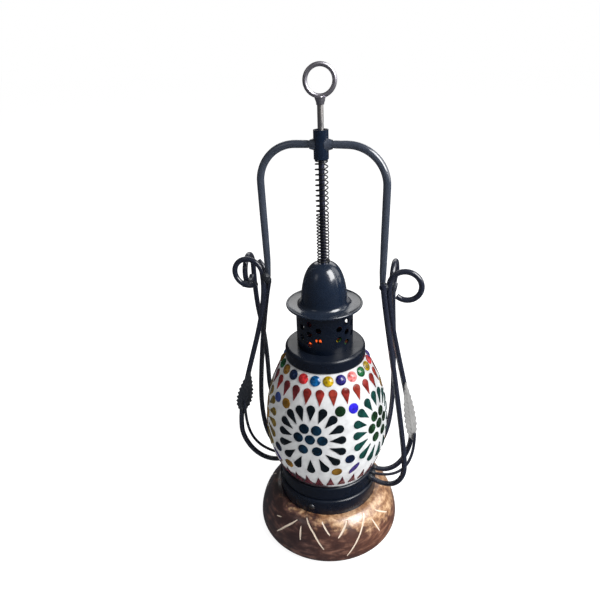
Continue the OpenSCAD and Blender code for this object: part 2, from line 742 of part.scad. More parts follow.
// Weld beads that knot the rods' tops to the feet of the bail and to each other
module knot_welds() {
    color([0.15, 0.16, 0.18]) {
        for (side = [-1, 1]) {
            translate([side * (bail_foot_w + 1.6), -1.6, curl_z - 1]) sphere(r = 3.2, $fn = 32);
            translate([side * (bail_foot_w + 2.2), 1.9, curl_z - 5]) sphere(r = 3, $fn = 32);
        }
        translate([leg_out + 0.5, rear_curl_right[1] - curl_r - 2.2, curl_z]) sphere(r = 2.4, $fn = 32);
        translate([-54.6, 8.9, curl_z + 6.1]) sphere(r = 1.6, $fn = 32);
    }
}

// Weld beads where the side rods meet the cup
module collar_welds() {
    color([0.15, 0.16, 0.18])
    for (az = [190, 180, 163, 146, -13, -2, 8, 40])
        translate(polar(cup_r + 0.4, az, weld_z)) sphere(r = 2.5, $fn = 24);
}

wooden_base();
collar_drum();
collar_cup();
collar_screws();
glass_barrel();
grout();
cabochons();
ruby_drops();
rosette_discs();
rosette_petals();
filler_chips();
maroon_triangles();
cap();
chimney();
hat();
dome_washer();
dome_nut();
lift_rod();
finger_ring();
ring_weld();
spring();
guide_tube();
bail_left();
bail_right();
tube_welds();
rod_left_front();
rod_left_middle();
rod_left_rear();
rod_right_front();
rod_right_middle();
rod_right_rear();
stem_left();
stem_right();
leaf_left();
leaf_right();
knot_welds();
collar_welds();
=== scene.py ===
# %% [markdown]
# A mosaic tea light holder, dressed for the camera. The packed CAD model gives every
# piece its place, and this lesson gives each one its finish, and a finer mesh where the
# solid is plain. Lengths are in metres, and +Z is up.

# %% Load the frame
import json
import math

import bmesh
import bpy
import numpy as np
from mathutils import Matrix, Vector, noise

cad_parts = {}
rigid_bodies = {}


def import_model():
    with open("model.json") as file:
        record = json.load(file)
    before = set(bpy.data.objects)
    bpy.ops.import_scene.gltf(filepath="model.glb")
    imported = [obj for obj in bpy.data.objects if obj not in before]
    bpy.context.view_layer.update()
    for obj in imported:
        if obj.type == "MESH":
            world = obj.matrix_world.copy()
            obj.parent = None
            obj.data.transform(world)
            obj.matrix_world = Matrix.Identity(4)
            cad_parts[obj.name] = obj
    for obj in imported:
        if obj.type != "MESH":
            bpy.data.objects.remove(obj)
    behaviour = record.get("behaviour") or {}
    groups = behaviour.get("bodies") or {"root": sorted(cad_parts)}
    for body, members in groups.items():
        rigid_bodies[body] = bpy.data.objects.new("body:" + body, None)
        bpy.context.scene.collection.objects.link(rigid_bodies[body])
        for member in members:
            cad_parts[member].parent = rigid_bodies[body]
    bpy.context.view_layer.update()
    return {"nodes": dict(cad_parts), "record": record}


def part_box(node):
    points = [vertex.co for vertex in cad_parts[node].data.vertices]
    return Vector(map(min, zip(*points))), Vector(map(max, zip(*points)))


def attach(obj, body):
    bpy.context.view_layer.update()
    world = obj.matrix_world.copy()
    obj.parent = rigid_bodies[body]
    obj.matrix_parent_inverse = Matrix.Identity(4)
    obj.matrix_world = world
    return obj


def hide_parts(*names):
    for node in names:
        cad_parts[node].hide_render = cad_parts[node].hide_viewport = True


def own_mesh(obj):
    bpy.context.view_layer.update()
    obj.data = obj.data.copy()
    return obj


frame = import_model()
nodes = frame["nodes"]

# %% [markdown]
# The camera comes first, because every later choice is judged through it. It stands a
# little above the hat and looks down, with the bail turned a few degrees. Its place is
# given round the holder's own axis, as a distance, a height and a few angles.

# %% Camera
MM = 0.001
CAMERA_FAR = 368 * MM
CAMERA_HIGH = 378.1 * MM
TURN = math.radians(15.5)
PITCH = math.radians(25.18)
YAW = math.radians(-2.74)
ROLL = math.radians(-2.36)
LENS_LONG = 33.6


def in_mm(lengths):
    return [round(length / MM, 1) for length in lengths]


def placed(name, data):
    made = bpy.data.objects.new(name, data)
    bpy.context.scene.collection.objects.link(made)
    return made


ahead = Vector((math.sin(YAW) * math.cos(PITCH), math.cos(YAW) * math.cos(PITCH), -math.sin(PITCH)))
level = Vector((math.cos(YAW), -math.sin(YAW), 0))
above = level.cross(ahead)
right = math.cos(ROLL) * level + math.sin(ROLL) * above
up = math.cos(ROLL) * above - math.sin(ROLL) * level
look = Matrix((right, up, -ahead)).transposed().to_4x4()
look.translation = Vector((0, -CAMERA_FAR, CAMERA_HIGH))

lens = bpy.data.cameras.new("photo_camera")
lens.lens = LENS_LONG
lens.clip_start = 10 * MM
camera = placed("photo_camera", lens)
camera.matrix_world = Matrix.Rotation(TURN, 4, "Z") @ look
bpy.context.scene.camera = camera
bpy.context.scene.view_settings.view_transform = "Standard"
print("camera at mm:", in_mm(camera.matrix_world.translation))

# %% [markdown]
# A finish is a formula over the surface: so much dust, times a cloudy noise, kept above
# nothing. Blender wants a Math node for each sum. The class Varying stands for a value
# that changes over a surface, and a plus or times sign between two of them adds that
# node. The cells below then read as formulas, which wires set by hand would hide.

# %% Values that vary over a surface
def sign_for(operation, backwards=False):
    def work(self, other):
        return worked(operation, *((other, self) if backwards else (self, other)))
    return work


class Varying:
    def __init__(self, socket):
        self.socket = socket
        self.tree = socket.id_data

    __add__ = __radd__ = sign_for("ADD")
    __sub__ = sign_for("SUBTRACT")
    __rsub__ = sign_for("SUBTRACT", backwards=True)
    __mul__ = sign_for("MULTIPLY")
    __truediv__ = sign_for("DIVIDE")
    __gt__ = sign_for("GREATER_THAN")
    __lt__ = sign_for("LESS_THAN")
    at_least = sign_for("MAXIMUM")
    at_most = sign_for("MINIMUM")


def plug(value, socket):
    if isinstance(value, Varying):
        value = value.socket
    if isinstance(value, bpy.types.NodeSocket):
        socket.id_data.links.new(value, socket)
    elif socket.type == "RGBA":
        socket.default_value = (*value, 1)
    else:
        socket.default_value = value


def worked(operation, *values):
    tree = next(value.tree for value in values if isinstance(value, Varying))
    made = tree.nodes.new("ShaderNodeMath")
    made.operation = operation
    for socket, value in zip(made.inputs, values):
        plug(value, socket)
    return Varying(made.outputs[0])


print("limits of a varying value:", [name for name in vars(Varying) if name.startswith("at_")])

# %% [markdown]
# These helpers add the nodes that most finishes need: a cloudy noise, a mask with a soft
# edge, a blend, a ramp, a bump. A place is always taken from the object itself, so a
# pattern stays on its piece when the piece moves.

# %% Helpers for shader nodes
def feed(node, **values):
    for key, value in values.items():
        plug(value, node.inputs[key.replace("_", " ")])


def put(tree, kind, **settings):
    made = tree.nodes.new("ShaderNode" + kind)
    own = [key for key in settings if key in made.bl_rna.properties]
    for key in own:
        setattr(made, key, settings.pop(key))
    feed(made, **settings)
    return made


def outputs_of(node):
    return {socket.name: Varying(socket) for socket in node.outputs}


def read(tree, kind, output, **settings):
    return outputs_of(put(tree, kind, **settings))[output]


def place_of(tree):
    return read(tree, "TexCoord", "Object")


def axes(vector):
    return list(outputs_of(put(vector.tree, "SeparateXYZ", Vector=vector)).values())


def cloud(tree, size, detail=3.0, roughness=0.5):
    return read(tree, "TexNoise", "Fac", Vector=place_of(tree), Scale=1 / size, Detail=detail,
                Roughness=roughness)


def cells(tree, size):
    return read(tree, "TexVoronoi", "Distance", Vector=place_of(tree), Scale=1 / size)


def between(value, low, high):
    return read(value.tree, "MapRange", "Result", Value=value, interpolation_type="SMOOTHSTEP",
                From_Min=low, From_Max=high)


def blend(mask, first, second):
    made = put(mask.tree, "Mix", data_type="RGBA")
    for index, value in ((0, mask), (6, first), (7, second)):
        plug(value, made.inputs[index])
    return Varying(made.outputs[2])


def steps(value, colours, smooth=False):
    made = put(value.tree, "ValToRGB")
    ramp = made.color_ramp
    ramp.interpolation = "LINEAR" if smooth else "CONSTANT"
    for i, colour in enumerate(colours):
        place = i / (len(colours) - 1) if smooth else i / len(colours)
        stop = ramp.elements[i] if i < 2 else ramp.elements.new(place)
        stop.position = place
        stop.color = (*colour, 1)
    plug(value, made.inputs[0])
    return Varying(made.outputs[0])


# %% Helpers for materials and shared groups
LAYER = ("Color", "Roughness", "Height")


def material(name, **sockets):
    made = bpy.data.materials.new(name)
    made.use_nodes = True
    shader = made.node_tree.nodes["Principled BSDF"]
    feed(shader, **sockets)
    return made, made.node_tree, shader


def raise_surface(shader, height, distance, strength=0.5):
    feed(shader, Normal=read(shader.id_data, "Bump", "Normal", Strength=strength, Distance=distance,
                             Height=height))


def shader_group(name, outputs, **inputs):
    tree = bpy.data.node_groups.new(name, "ShaderNodeTree")
    for label, value in inputs.items():
        kind = "NodeSocketFloat" if isinstance(value, float) else "NodeSocketColor"
        socket = tree.interface.new_socket(label, in_out="INPUT", socket_type=kind)
        socket.default_value = value if isinstance(value, float) else (*value, 1)
    for label in outputs:
        kind = "NodeSocketColor" if label == "Color" else "NodeSocketFloat"
        tree.interface.new_socket(label, in_out="OUTPUT", socket_type=kind)
    given = outputs_of(tree.nodes.new("NodeGroupInput"))
    return tree, given, tree.nodes.new("NodeGroupOutput")


def use_group(tree, name, **inputs):
    made = tree.nodes.new("ShaderNodeGroup")
    made.node_tree = bpy.data.node_groups[name]
    feed(made, **inputs)
    return outputs_of(made)


def lay_over(shader, layer, relief, strength=0.5):
    feed(shader, Base_Color=layer["Color"], Roughness=layer["Roughness"])
    raise_surface(shader, layer["Height"], relief, strength)


print("shader helpers ready")

# %% [markdown]
# The set is a white sweep with a soft window on the right, where the highlights on the
# dome, brim and collar point. A faint fill stands at the left, and two wide panels stand
# behind and at the right. The surround lights the holder at a quarter of its strength,
# and shows full white only to the camera and through glass. Glossy surfaces see it dim
# and the lamps bright, so dark enamel stays dark with crisp lights.

# %% White surround
AMBIENT = 0.27
GLOSSY = 0.07
WHITE = (1, 1, 1)
world = bpy.data.worlds.new("white_surround")
bpy.context.scene.world = world
world.use_nodes = True
sky = world.node_tree
sky.nodes.clear()
ray = outputs_of(put(sky, "LightPath"))
shows = ray["Is Camera Ray"].at_least(ray["Is Transmission Ray"])
glossy = ray["Is Glossy Ray"] * (1.0 - shows)
strength = AMBIENT + shows * (1 - AMBIENT) + glossy * (GLOSSY - AMBIENT)
white = put(sky, "Background", Color=WHITE, Strength=strength)
feed(put(sky, "OutputWorld"), Surface=white.outputs[0])
print("surround nodes:", len(sky.nodes))

# %% Floor
FLOOR_GLOW = 1.5
FLOOR_SHARE = 0.6
FLOOR_MIRRORED = 0.97
FLOOR_HALF = 6
FLOOR_UNDER = 0.2 * MM
floor_paint, tree, shader = material("floor_paint", Base_Color=(0.9, 0.9, 0.9), Roughness=0.9,
                                     Specular_IOR_Level=0.0)


def mixed(mask, first, second):
    made = put(mask.tree, "MixShader", Fac=mask)
    plug(first.outputs[0], made.inputs[1])
    plug(second.outputs[0], made.inputs[2])
    return made


ray = outputs_of(put(tree, "LightPath"))
glow = put(tree, "Emission", Color=WHITE, Strength=FLOOR_GLOW)
dim = put(tree, "Emission", Color=(0.05, 0.052, 0.06), Strength=1.0)
seen = mixed(ray["Is Camera Ray"] * FLOOR_SHARE, shader, glow)
mirrored = mixed(ray["Is Glossy Ray"] * FLOOR_MIRRORED, seen, dim)
feed(tree.nodes["Material Output"], Surface=mirrored.outputs[0])

corners = [(x * FLOOR_HALF, y * FLOOR_HALF, 0) for x, y in ((-1, -1), (1, -1), (1, 1), (-1, 1))]
floor_mesh = bpy.data.meshes.new("floor")
floor_mesh.from_pydata(corners, [], [(0, 1, 2, 3)])
floor_mesh.materials.append(floor_paint)
floor = placed("floor", floor_mesh)
floor.location.z = -FLOOR_UNDER
print("floor nodes:", len(tree.nodes))

# %% Lamps
AIM = Vector((0, 0, 150 * MM))


def around(reach, angle, z):
    return reach * math.cos(angle), reach * math.sin(angle), z


def lamp(name, azimuth, elevation, distance, width, height, watts):
    light = bpy.data.lights.new(name, "AREA")
    light.shape = "RECTANGLE"
    light.size = width
    light.size_y = height
    light.energy = watts
    rise = math.radians(elevation)
    way = Vector(around(math.cos(rise), math.radians(azimuth), math.sin(rise)))
    made = placed(name, light)
    made.location = AIM + way * distance
    made.rotation_euler = way.to_track_quat("Z", "Y").to_euler()


lamp("window", -19, 40, 1.1, 0.56, 0.8, 17.0)
lamp("fill", -125, 30, 1.4, 0.4, 0.4, 0.35)
lamp("back_panel", 96, 32, 1.3, 1.4, 0.5, 3.7)
lamp("side_panel", 18, 28, 1.2, 1.0, 1.2, 6.5)
print("lamps:", [light.name for light in bpy.data.lights])

# %% [markdown]
# Some solids have the right form and are only plain: hat, chimney, bail and two of the
# welds. They are copied and made finer. Rods, spring, leaves, chips, grout and base are
# built anew, closer to the photograph. Either way the new piece stands for its node,
# rides on its body and fills its slot.

# %% Pieces that stand for CAD nodes
def copied_mesh(node):
    bm = bmesh.new()
    bm.from_mesh(nodes[node].data)
    bmesh.ops.remove_doubles(bm, verts=bm.verts, dist=0.002 * MM)
    return bm


def finished(bm, name, sharp_angle=None):
    mesh = bpy.data.meshes.new(name)
    bm.to_mesh(mesh)
    bm.free()
    if "custom_normal" in mesh.attributes:
        mesh.attributes.remove(mesh.attributes["custom_normal"])
    mesh.polygons.foreach_set("use_smooth", [True] * len(mesh.polygons))
    if sharp_angle is not None:
        mesh.set_sharp_from_angle(angle=math.radians(sharp_angle))
    return placed(name, mesh)


def wrap(bm, rings, closed=False):
    above = rings[1:] + rings[:1] if closed else rings[1:]
    for low, high in zip(rings, above):
        for k in range(len(low)):
            n = (k + 1) % len(low)
            bm.faces.new((low[k], low[n], high[n], high[k]))
    if not closed:
        bm.faces.new(rings[0][::-1])
        bm.faces.new(rings[-1])


def body_of(node):
    bodies = frame["record"]["behaviour"]["bodies"]
    return next(body for body, members in bodies.items() if node in members)


def stands_for(piece, node, finish):
    piece.data.materials.clear()
    piece.data.materials.append(finish)
    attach(piece, body_of(node))
    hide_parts(node)


def dress(finish, *names):
    for name in names:
        for slot in nodes[name].material_slots:
            slot.material = finish


# %% [markdown]
# All the ironwork is brushed with one blue-black enamel, thin enough to pool. Sheet,
# rods, leaves and welds share it, so it is a group: a paint, a faded colour, and dust
# that settles where a surface looks up.

# %% Shared group: brushed enamel
DUST_GREY = (0.29, 0.31, 0.34)
tree, given, result = shader_group("Brushed Enamel", LAYER, Paint=(0.01, 0.013, 0.02),
                                   Faded=(0.03, 0.035, 0.045), Dust=0.1, Gloss=0.3)
pooled = cloud(tree, 14 * MM, 4)
skin = cloud(tree, 1.6 * MM, 2)
speck = cells(tree, 2.2 * MM) < 0.16
looks_up = axes(read(tree, "NewGeometry", "Normal"))[2].at_least(0.0)
settled = looks_up * (given["Dust"] * cloud(tree, 5 * MM, 5, 0.7))
dusty = settled + speck * (given["Dust"] * 0.4)
tinted = blend(pooled * 0.6, given["Paint"], given["Faded"])
feed(result, Color=blend(dusty, tinted, DUST_GREY), Height=skin + pooled * 1.5,
     Roughness=given["Gloss"] + ((pooled - 0.5) * 0.3 + settled))


def named(end, group=bpy.data.objects):
    return [item.name for item in group if item.name.endswith(end)]


def enamel(name, paint, faded, dust, gloss, relief, specular=0.4, coat=0.15):
    made, tree, shader = material(name, Specular_IOR_Level=specular, Coat_Weight=coat, Coat_Roughness=0.1)
    lay_over(shader, use_group(tree, "Brushed Enamel", Paint=paint, Faded=faded, Dust=dust, Gloss=gloss),
             relief * MM)
    return made


sheet_enamel = enamel("sheet_enamel", (0.001, 0.003, 0.009), (0.004, 0.009, 0.021), 0.03, 0.28, 0.04)
hat_enamel = enamel("hat_enamel", (0.002, 0.007, 0.019), (0.006, 0.015, 0.035), 0.06, 0.21, 0.04, 0.6, 0.6)
# The bail's paint is lighter than the rods', partly as a painted sheen on the same enamel.
bail_enamel = enamel("bail_enamel", (0.02, 0.028, 0.045), (0.062, 0.074, 0.104), 0.06, 0.24, 0.08, 0.9, 0.8)
rod_enamel = enamel("rod_enamel", (0.005, 0.007, 0.017), (0.018, 0.023, 0.044), 0.06, 0.24, 0.1, 0.7, 0.5)
weld_enamel = enamel("weld_enamel", (0.006, 0.008, 0.013), (0.03, 0.034, 0.04), 0.15, 0.34, 0.5)
dress(sheet_enamel, "collar_drum", "collar_cup", "cap")
dress(hat_enamel, "guide_tube")
print("enamels:", named("enamel", bpy.data.materials))

# %% [markdown]
# The hat is one stamping, so its dome flows into the brim in a soft round that catches
# the light. The CAD has a plain corner there. A bevel of narrow steps on that one ring
# makes the round and leaves the rest as it is.

# %% Pressed hat
HAT_ROUND = 2.4 * MM
CORNER_FROM, CORNER_TO = 17.5 * MM, 20.2 * MM
CORNER_TURN = math.radians(25)
chimney_low, chimney_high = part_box("chimney")
bm = copied_mesh("hat")
bmesh.ops.dissolve_limit(bm, angle_limit=math.radians(0.5), verts=bm.verts, edges=bm.edges)
bm.normal_update()


def in_hat_corner(edge):
    reach = [math.hypot(v.co.x, v.co.y) for v in edge.verts]
    low, high = sorted(v.co.z - chimney_high.z for v in edge.verts)
    over_brim = 0.5 * MM < (low + high) / 2 < 1.5 * MM
    return high - low < 0.1 * MM and over_brim and CORNER_FROM < min(reach) and max(reach) < CORNER_TO


corner = [e for e in bm.edges if in_hat_corner(e) and len(e.link_faces) == 2
          and e.calc_face_angle() > CORNER_TURN]
bmesh.ops.bevel(bm, geom=corner, offset=HAT_ROUND, segments=6, profile=0.5, affect="EDGES")
stands_for(finished(bm, "pressed_hat", 40), "hat", hat_enamel)
print("edges rounded at the hat's foot:", len(corner))

# %% [markdown]
# The chimney's holes are punched, and wider than in the solid. Every hole's rim is a
# small ring of points of its own in the copied mesh, so a ring is found by walking along
# short edges, and pushed out from its middle.

# %% Wider holes in the chimney
HOLE_GROWN = 4.6 / 3.9
RIM_EDGE = 1.1 * MM
PLAIN_END = 2 * MM


def ring_from(start, left):
    ring, waiting = [], [start]
    del left[start]
    while waiting:
        v = waiting.pop()
        ring.append(v)
        for e in v.link_edges:
            other = e.other_vert(v)
            if other in left and e.calc_length() < RIM_EDGE:
                del left[other]
                waiting.append(other)
    return ring


bm = copied_mesh("chimney")
left = dict.fromkeys(v for v in bm.verts if PLAIN_END < v.co.z - chimney_low.z
                     and PLAIN_END < chimney_high.z - v.co.z)
holes = []
while left:
    holes.append(ring_from(next(iter(left)), left))
for ring in holes:
    middle = sum((v.co for v in ring), Vector()) / len(ring)
    axis = Vector((middle.x, middle.y, 0)).normalized()
    for v in ring:
        off = v.co - middle
        v.co += (off - axis * off.dot(axis)) * (HOLE_GROWN - 1)
stands_for(finished(bm, "punched_chimney", 40), "chimney", sheet_enamel)
print("holes widened:", len(holes), "points in the first:", len(holes[0]))

# %% [markdown]
# The bail is bent from round bar. The two swept solids become quads again, grow by the
# little that subdivision takes off, and are subdivided once, which gives a round bar of
# the CAD's own diameter.

# %% Round bar of the bail
FULL_TURN = 2 * math.pi
BAIL_D = 5.2
BAIL_SIDES = 16
shrink = (2 + math.cos(FULL_TURN / BAIL_SIDES)) / 3
for node in ("bail_left", "bail_right"):
    bm = copied_mesh(node)
    bmesh.ops.join_triangles(bm, faces=bm.faces, angle_face_threshold=0.7, angle_shape_threshold=1.2)
    bm.normal_update()
    for v in bm.verts:
        v.co += v.normal * BAIL_D / 2 * MM * (1 / shrink - 1)
    bar = finished(bm, node + "_bar")
    rounding = bar.modifiers.new("round", "SUBSURF")
    rounding.levels = 1
    rounding.render_levels = 1
    stands_for(bar, node, bail_enamel)
print("bail:", named("_bar"))

# %% [markdown]
# The side rods are bent by hand, so each one takes its own way down: a curl, a long lean
# to the belly, and a turn in to the weld. They are swept along routes that follow the
# photograph more closely than the solids do. A ring of points is carried along without
# twisting, so a bar stays round through every bend.

# %% Swept bar
def tube(name, path, radius, sides):
    path = np.array(path)
    ways = np.gradient(path, axis=0)
    ways /= np.linalg.norm(ways, axis=1)[:, None]
    side = np.cross(ways[0], (0, 0, 1.0) if abs(ways[0][2]) < 0.9 else (0, 1.0, 0))
    turn = np.arange(sides)[:, None] * FULL_TURN / sides
    bm = bmesh.new()
    rings = []
    for point, way in zip(path, ways):
        side = side - way * (side @ way)
        side /= np.linalg.norm(side)
        ring = point + radius * (np.cos(turn) * side + np.sin(turn) * np.cross(way, side))
        rings.append([bm.verts.new(p) for p in ring])
    wrap(bm, rings)
    return finished(bm, name, 60)


def bezier(a, b, c, d, count=24):
    t = np.linspace(0, 1, count + 1)[:, None]
    s = 1 - t
    return s ** 3 * a + 3 * s * s * t * b + 3 * s * t * t * c + t ** 3 * d


def polar(reach, degrees, z):
    return np.array(around(reach, math.radians(degrees), z))


UP = np.array((0, 0, 1.0))
print("a full turn of bar has", len(bezier(UP, UP, UP, UP)), "rings a stretch")

# %% Sizes of the side rods, in millimetres
cup_low, cup_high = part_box("collar_cup")
SIDE_D = 4
STEM_D = 2.3
BAIL_FOOT = 41.8
CUP_R = cup_high.x / MM
CUP_FLOOR = cup_low.z / MM + 0.9
BELLY_R = 68.5
BELLY_HIGH = CUP_FLOOR + 38
CURL_Z = CUP_FLOOR + 171
WELD_Z = CUP_FLOOR + 4.6
CURL_R = 11.5
CURL_TURN = math.radians(308)
CURL_TUCK = 0.17
CURL_RINGS = 48
LEG = BAIL_FOOT + BAIL_D / 2 + SIDE_D / 2 + 0.4
LEFT_AZ = (188, 167.5, 146)
RIGHT_AZ = (-13, 5, 40)
STEM_AZ = (179, -4.5)


def rod_belly(wider, azimuth, higher):
    return polar(BELLY_R + wider, azimuth, BELLY_HIGH + higher)


def rod_route(top, belly, weld_az, reach, lean=(0, 0, 0)):
    weld = polar(CUP_R + SIDE_D / 4, weld_az, WELD_Z)
    high = bezier(top, top - reach[0] * UP + lean, belly + reach[1] * UP, belly)
    low = bezier(belly, belly - reach[2] * UP, weld + polar(20, weld_az, -6), weld)
    return np.vstack((high, low[1:]))


def curled_rod(centre, plane_az, *route):
    plane = polar(1, plane_az, 0)
    turn = np.linspace(CURL_TURN, 0, CURL_RINGS + 1)[:-1, None]
    reach = CURL_R * (1 - CURL_TUCK * turn / FULL_TURN)
    curl = centre + reach * (-np.cos(turn) * plane + np.sin(turn) * UP)
    return np.vstack((curl, rod_route(centre - CURL_R * plane, *route)))


print("bail leg, curls and welds at mm:", round(LEG, 1), round(CURL_Z, 1), round(WELD_Z, 1))

# %% Routes of the side rods, in millimetres
curl_left = np.array((-LEG - CURL_R, 0, CURL_Z))
curl_right = np.array((LEG + CURL_R, 0, CURL_Z))
rear_left = np.array((-LEG - CURL_R - 1.2 * SIDE_D, CURL_R + SIDE_D / 2 + 0.1, CURL_Z - 2.5))
rear_right = np.array((LEG + 1, CURL_R + SIDE_D + 0.4, CURL_Z))
tip_left = np.array((-LEG - 1.5 * SIDE_D, 2.2 * SIDE_D, CURL_Z + 7))
bend_left = np.array((-LEG + 0.65 * SIDE_D, 1.3 * SIDE_D, CURL_Z - 2 * SIDE_D))
tip_right = np.array((BAIL_FOOT + 1.6, -(BAIL_D + SIDE_D) / 2 - 0.3, CURL_Z + SIDE_D / 2))
hook = bezier(tip_left, tip_left + (3.5, -1.2, -3), bend_left + (-1, 0.4, 8), bend_left, 12)
down = rod_route(bend_left, rod_belly(-1.4, 162.7, 4.9), LEFT_AZ[1], (14, 26, 24), (-4, 0, 0))
routes = {
    "rod_left_front": curled_rod(curl_left, 180, rod_belly(1.6, 192.3, 0.9), LEFT_AZ[0],
                                 (38, 42, 14), (3.6, 0, 0)),
    "rod_left_middle": np.vstack((hook[:-1], down)),
    "rod_left_rear": curled_rod(rear_left, 276, rod_belly(2.9, 150.3, 18.2), LEFT_AZ[2], (62, 70, 20)),
    "rod_right_front": rod_route(tip_right, rod_belly(-1.6, -13.4, -11.4), RIGHT_AZ[0], (14, 24, 12)),
    "rod_right_middle": curled_rod(curl_right, 0, rod_belly(-1.1, 10.3, -3.5), RIGHT_AZ[1],
                                   (26, 35, 11), (-2, -2, 0)),
    "rod_right_rear": curled_rod(rear_right, -90, rod_belly(0.9, 49.5, 15), RIGHT_AZ[2],
                                 (20, 71, 21), (-5, 0, 0)),
}
for node, path in routes.items():
    stands_for(tube(node + "_bent", path * MM, SIDE_D / 2 * MM, 16), node, rod_enamel)
print("rods:", {node: len(path) for node, path in routes.items()})

# %% [markdown]
# The spring is wound from thin wire, closer in its lower turns, with a closed turn at
# each end where it seats. It is a helix whose height is read off a few marks.

# %% Spring
spring_low, spring_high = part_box("spring")
WIRE = 0.45 * MM
WOBBLE = 0.1 * MM
CLOSE_TURNS = 15
WIDE_TURNS = 10
CLOSE_SHARE = 0.49
PER_TURN = 20
SEAT_RISE = 2.2 * WIRE
spring_length = spring_high.z - spring_low.z
coil_rise = spring_length - 2 * (WIRE + SEAT_RISE)
rises = (WIRE, SEAT_RISE, coil_rise * CLOSE_SHARE, coil_rise * (1 - CLOSE_SHARE), SEAT_RISE)
turn_marks = np.cumsum((0, 1, CLOSE_TURNS, WIDE_TURNS, 1))
turns = np.arange(PER_TURN * turn_marks[-1] + 1) / PER_TURN
height = spring_low.z + np.interp(turns, turn_marks, np.cumsum(rises))
reach = spring_high.x - WIRE - WOBBLE + WOBBLE * np.sin(turns * 2.1)
angle = FULL_TURN * turns
path = np.column_stack((reach * np.cos(angle), reach * np.sin(angle), height))
spring = tube("wound_spring", path, WIRE, 10)
print("spring turns:", turn_marks[-1], "length mm:", round(spring_length / MM, 1))

# %% [markdown]
# Worn steel is needed four times: bright on the finger ring, brownish on the lift rod,
# dull on the spring and grey on the screws. One group gives drawn streaks and rubbed
# spots, and each material sets its own colours.

# %% Shared group: worn steel
tree, given, result = shader_group("Worn Steel", LAYER, Steel=(0.2, 0.2, 0.21),
                                   Grime=(0.03, 0.03, 0.035), Rubbed=0.5)
streaks = cloud(tree, 3 * MM, 6, 0.65)
worn = ((streaks + given["Rubbed"]) * cloud(tree, 9 * MM, 3)).at_most(1.0)
feed(result, Color=blend(worn, given["Grime"], given["Steel"]), Roughness=0.62 - worn * 0.4, Height=streaks)


def steel(name, bright, grime, rubbed):
    made, tree, shader = material(name, Metallic=1.0)
    layer = use_group(tree, "Worn Steel", Steel=bright, Grime=grime, Rubbed=rubbed)
    lay_over(shader, layer, 0.1 * MM, 0.4)
    return made, shader, layer["Color"]


BLACKENED = (0.13, 0.14, 0.21)  # the lift rod, inside the spring
IN_TUBE = 5 * MM
ring_steel, _, _ = steel("ring_steel", (0.85, 0.82, 0.9), (0.07, 0.065, 0.085), 0.6)
rod_steel, shader, bare = steel("rod_steel", (0.75, 0.74, 0.74), (0.2, 0.17, 0.15), 0.8)
spring_steel, _, _ = steel("spring_steel", (0.12, 0.12, 0.125), (0.02, 0.02, 0.022), 0.4)
screw_steel, _, _ = steel("screw_steel", (0.3, 0.31, 0.33), (0.03, 0.03, 0.035), 0.5)
bare_from = axes(place_of(bare.tree))[2] > spring_high.z + IN_TUBE
feed(shader, Base_Color=blend(bare_from, BLACKENED, bare))
dress(ring_steel, "finger_ring")
dress(rod_steel, "lift_rod")
dress(screw_steel, "collar_screws", "dome_washer", "dome_nut")
print("steels:", named("steel", bpy.data.materials))

# %% Spring on its body, with a mesh of its own
stands_for(spring, "spring", spring_steel)
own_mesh(spring)

# %% [markdown]
# The welds are small lumps with spatter, painted over. At the tube and the ring the CAD's
# clean beads are copied and subdivided; where the rods took new routes, the beads are
# new balls. Smooth noise pushes them in and out, so they catch the light unevenly.

# %% Weld beads
LUMP = 2.2 * MM
LONG_EDGE = 1.2 * MM


def spattered(bm, node, amount, finish):
    bm.normal_update()
    for v in bm.verts:
        v.co += v.normal * amount * MM * (noise.noise(v.co / LUMP) + 0.4 * noise.noise(v.co / LUMP * 2.7))
    stands_for(finished(bm, node + "_beads", 60), node, finish)


def lumpy(node, amount, finish):
    bm = copied_mesh(node)
    long_edges = [e for e in bm.edges if e.calc_length() > LONG_EDGE]
    bmesh.ops.subdivide_edges(bm, edges=long_edges, cuts=1, use_grid_fill=True)
    bmesh.ops.triangulate(bm, faces=bm.faces)
    spattered(bm, node, amount, finish)


def beads(node, places):
    bm = bmesh.new()
    for centre, radius in places:
        bmesh.ops.create_icosphere(bm, subdivisions=4, radius=radius * MM,
                                   matrix=Matrix.Translation(Vector(centre) * MM))
    spattered(bm, node, 0.45, weld_enamel)


lumpy("tube_welds", 0.25, bail_enamel)
lumpy("ring_weld", 0.35, ring_steel)
knots = [((side * (BAIL_FOOT + 1.6), -1.6, CURL_Z - 1), 3.2) for side in (-1, 1)]
knots += [((side * (BAIL_FOOT + 2.2), 1.9, CURL_Z - 5), 3) for side in (-1, 1)]
knots.append(((LEG + 0.5, rear_right[1] - CURL_R - 2.2, CURL_Z), 2.4))
knots.append(((-LEG - 4 * SIDE_D, 0.55 * SIDE_D, CURL_Z - 0.87 * CURL_R), 2.7))
beads("knot_welds", knots)
beads("collar_welds", [(polar(CUP_R + 0.4, az, WELD_Z), 2.5) for az in LEFT_AZ + RIGHT_AZ + STEM_AZ])
print("beads:", named("_beads"))

# %% [markdown]
# The two leaves are cut from sheet, toothed along the edge, and struck with a chisel
# for veins. A grid over the outline takes rib and veins as real relief; a flat plate
# with a bump would look like card from the side.

# %% Where a leaf lies, in millimetres
LEAF_TEETH = 10
LEAF_LONG = 56
LEAF_SHORT = 36
LEAF_THICK = 1
LEAF_Z = CUP_FLOOR + 60.4


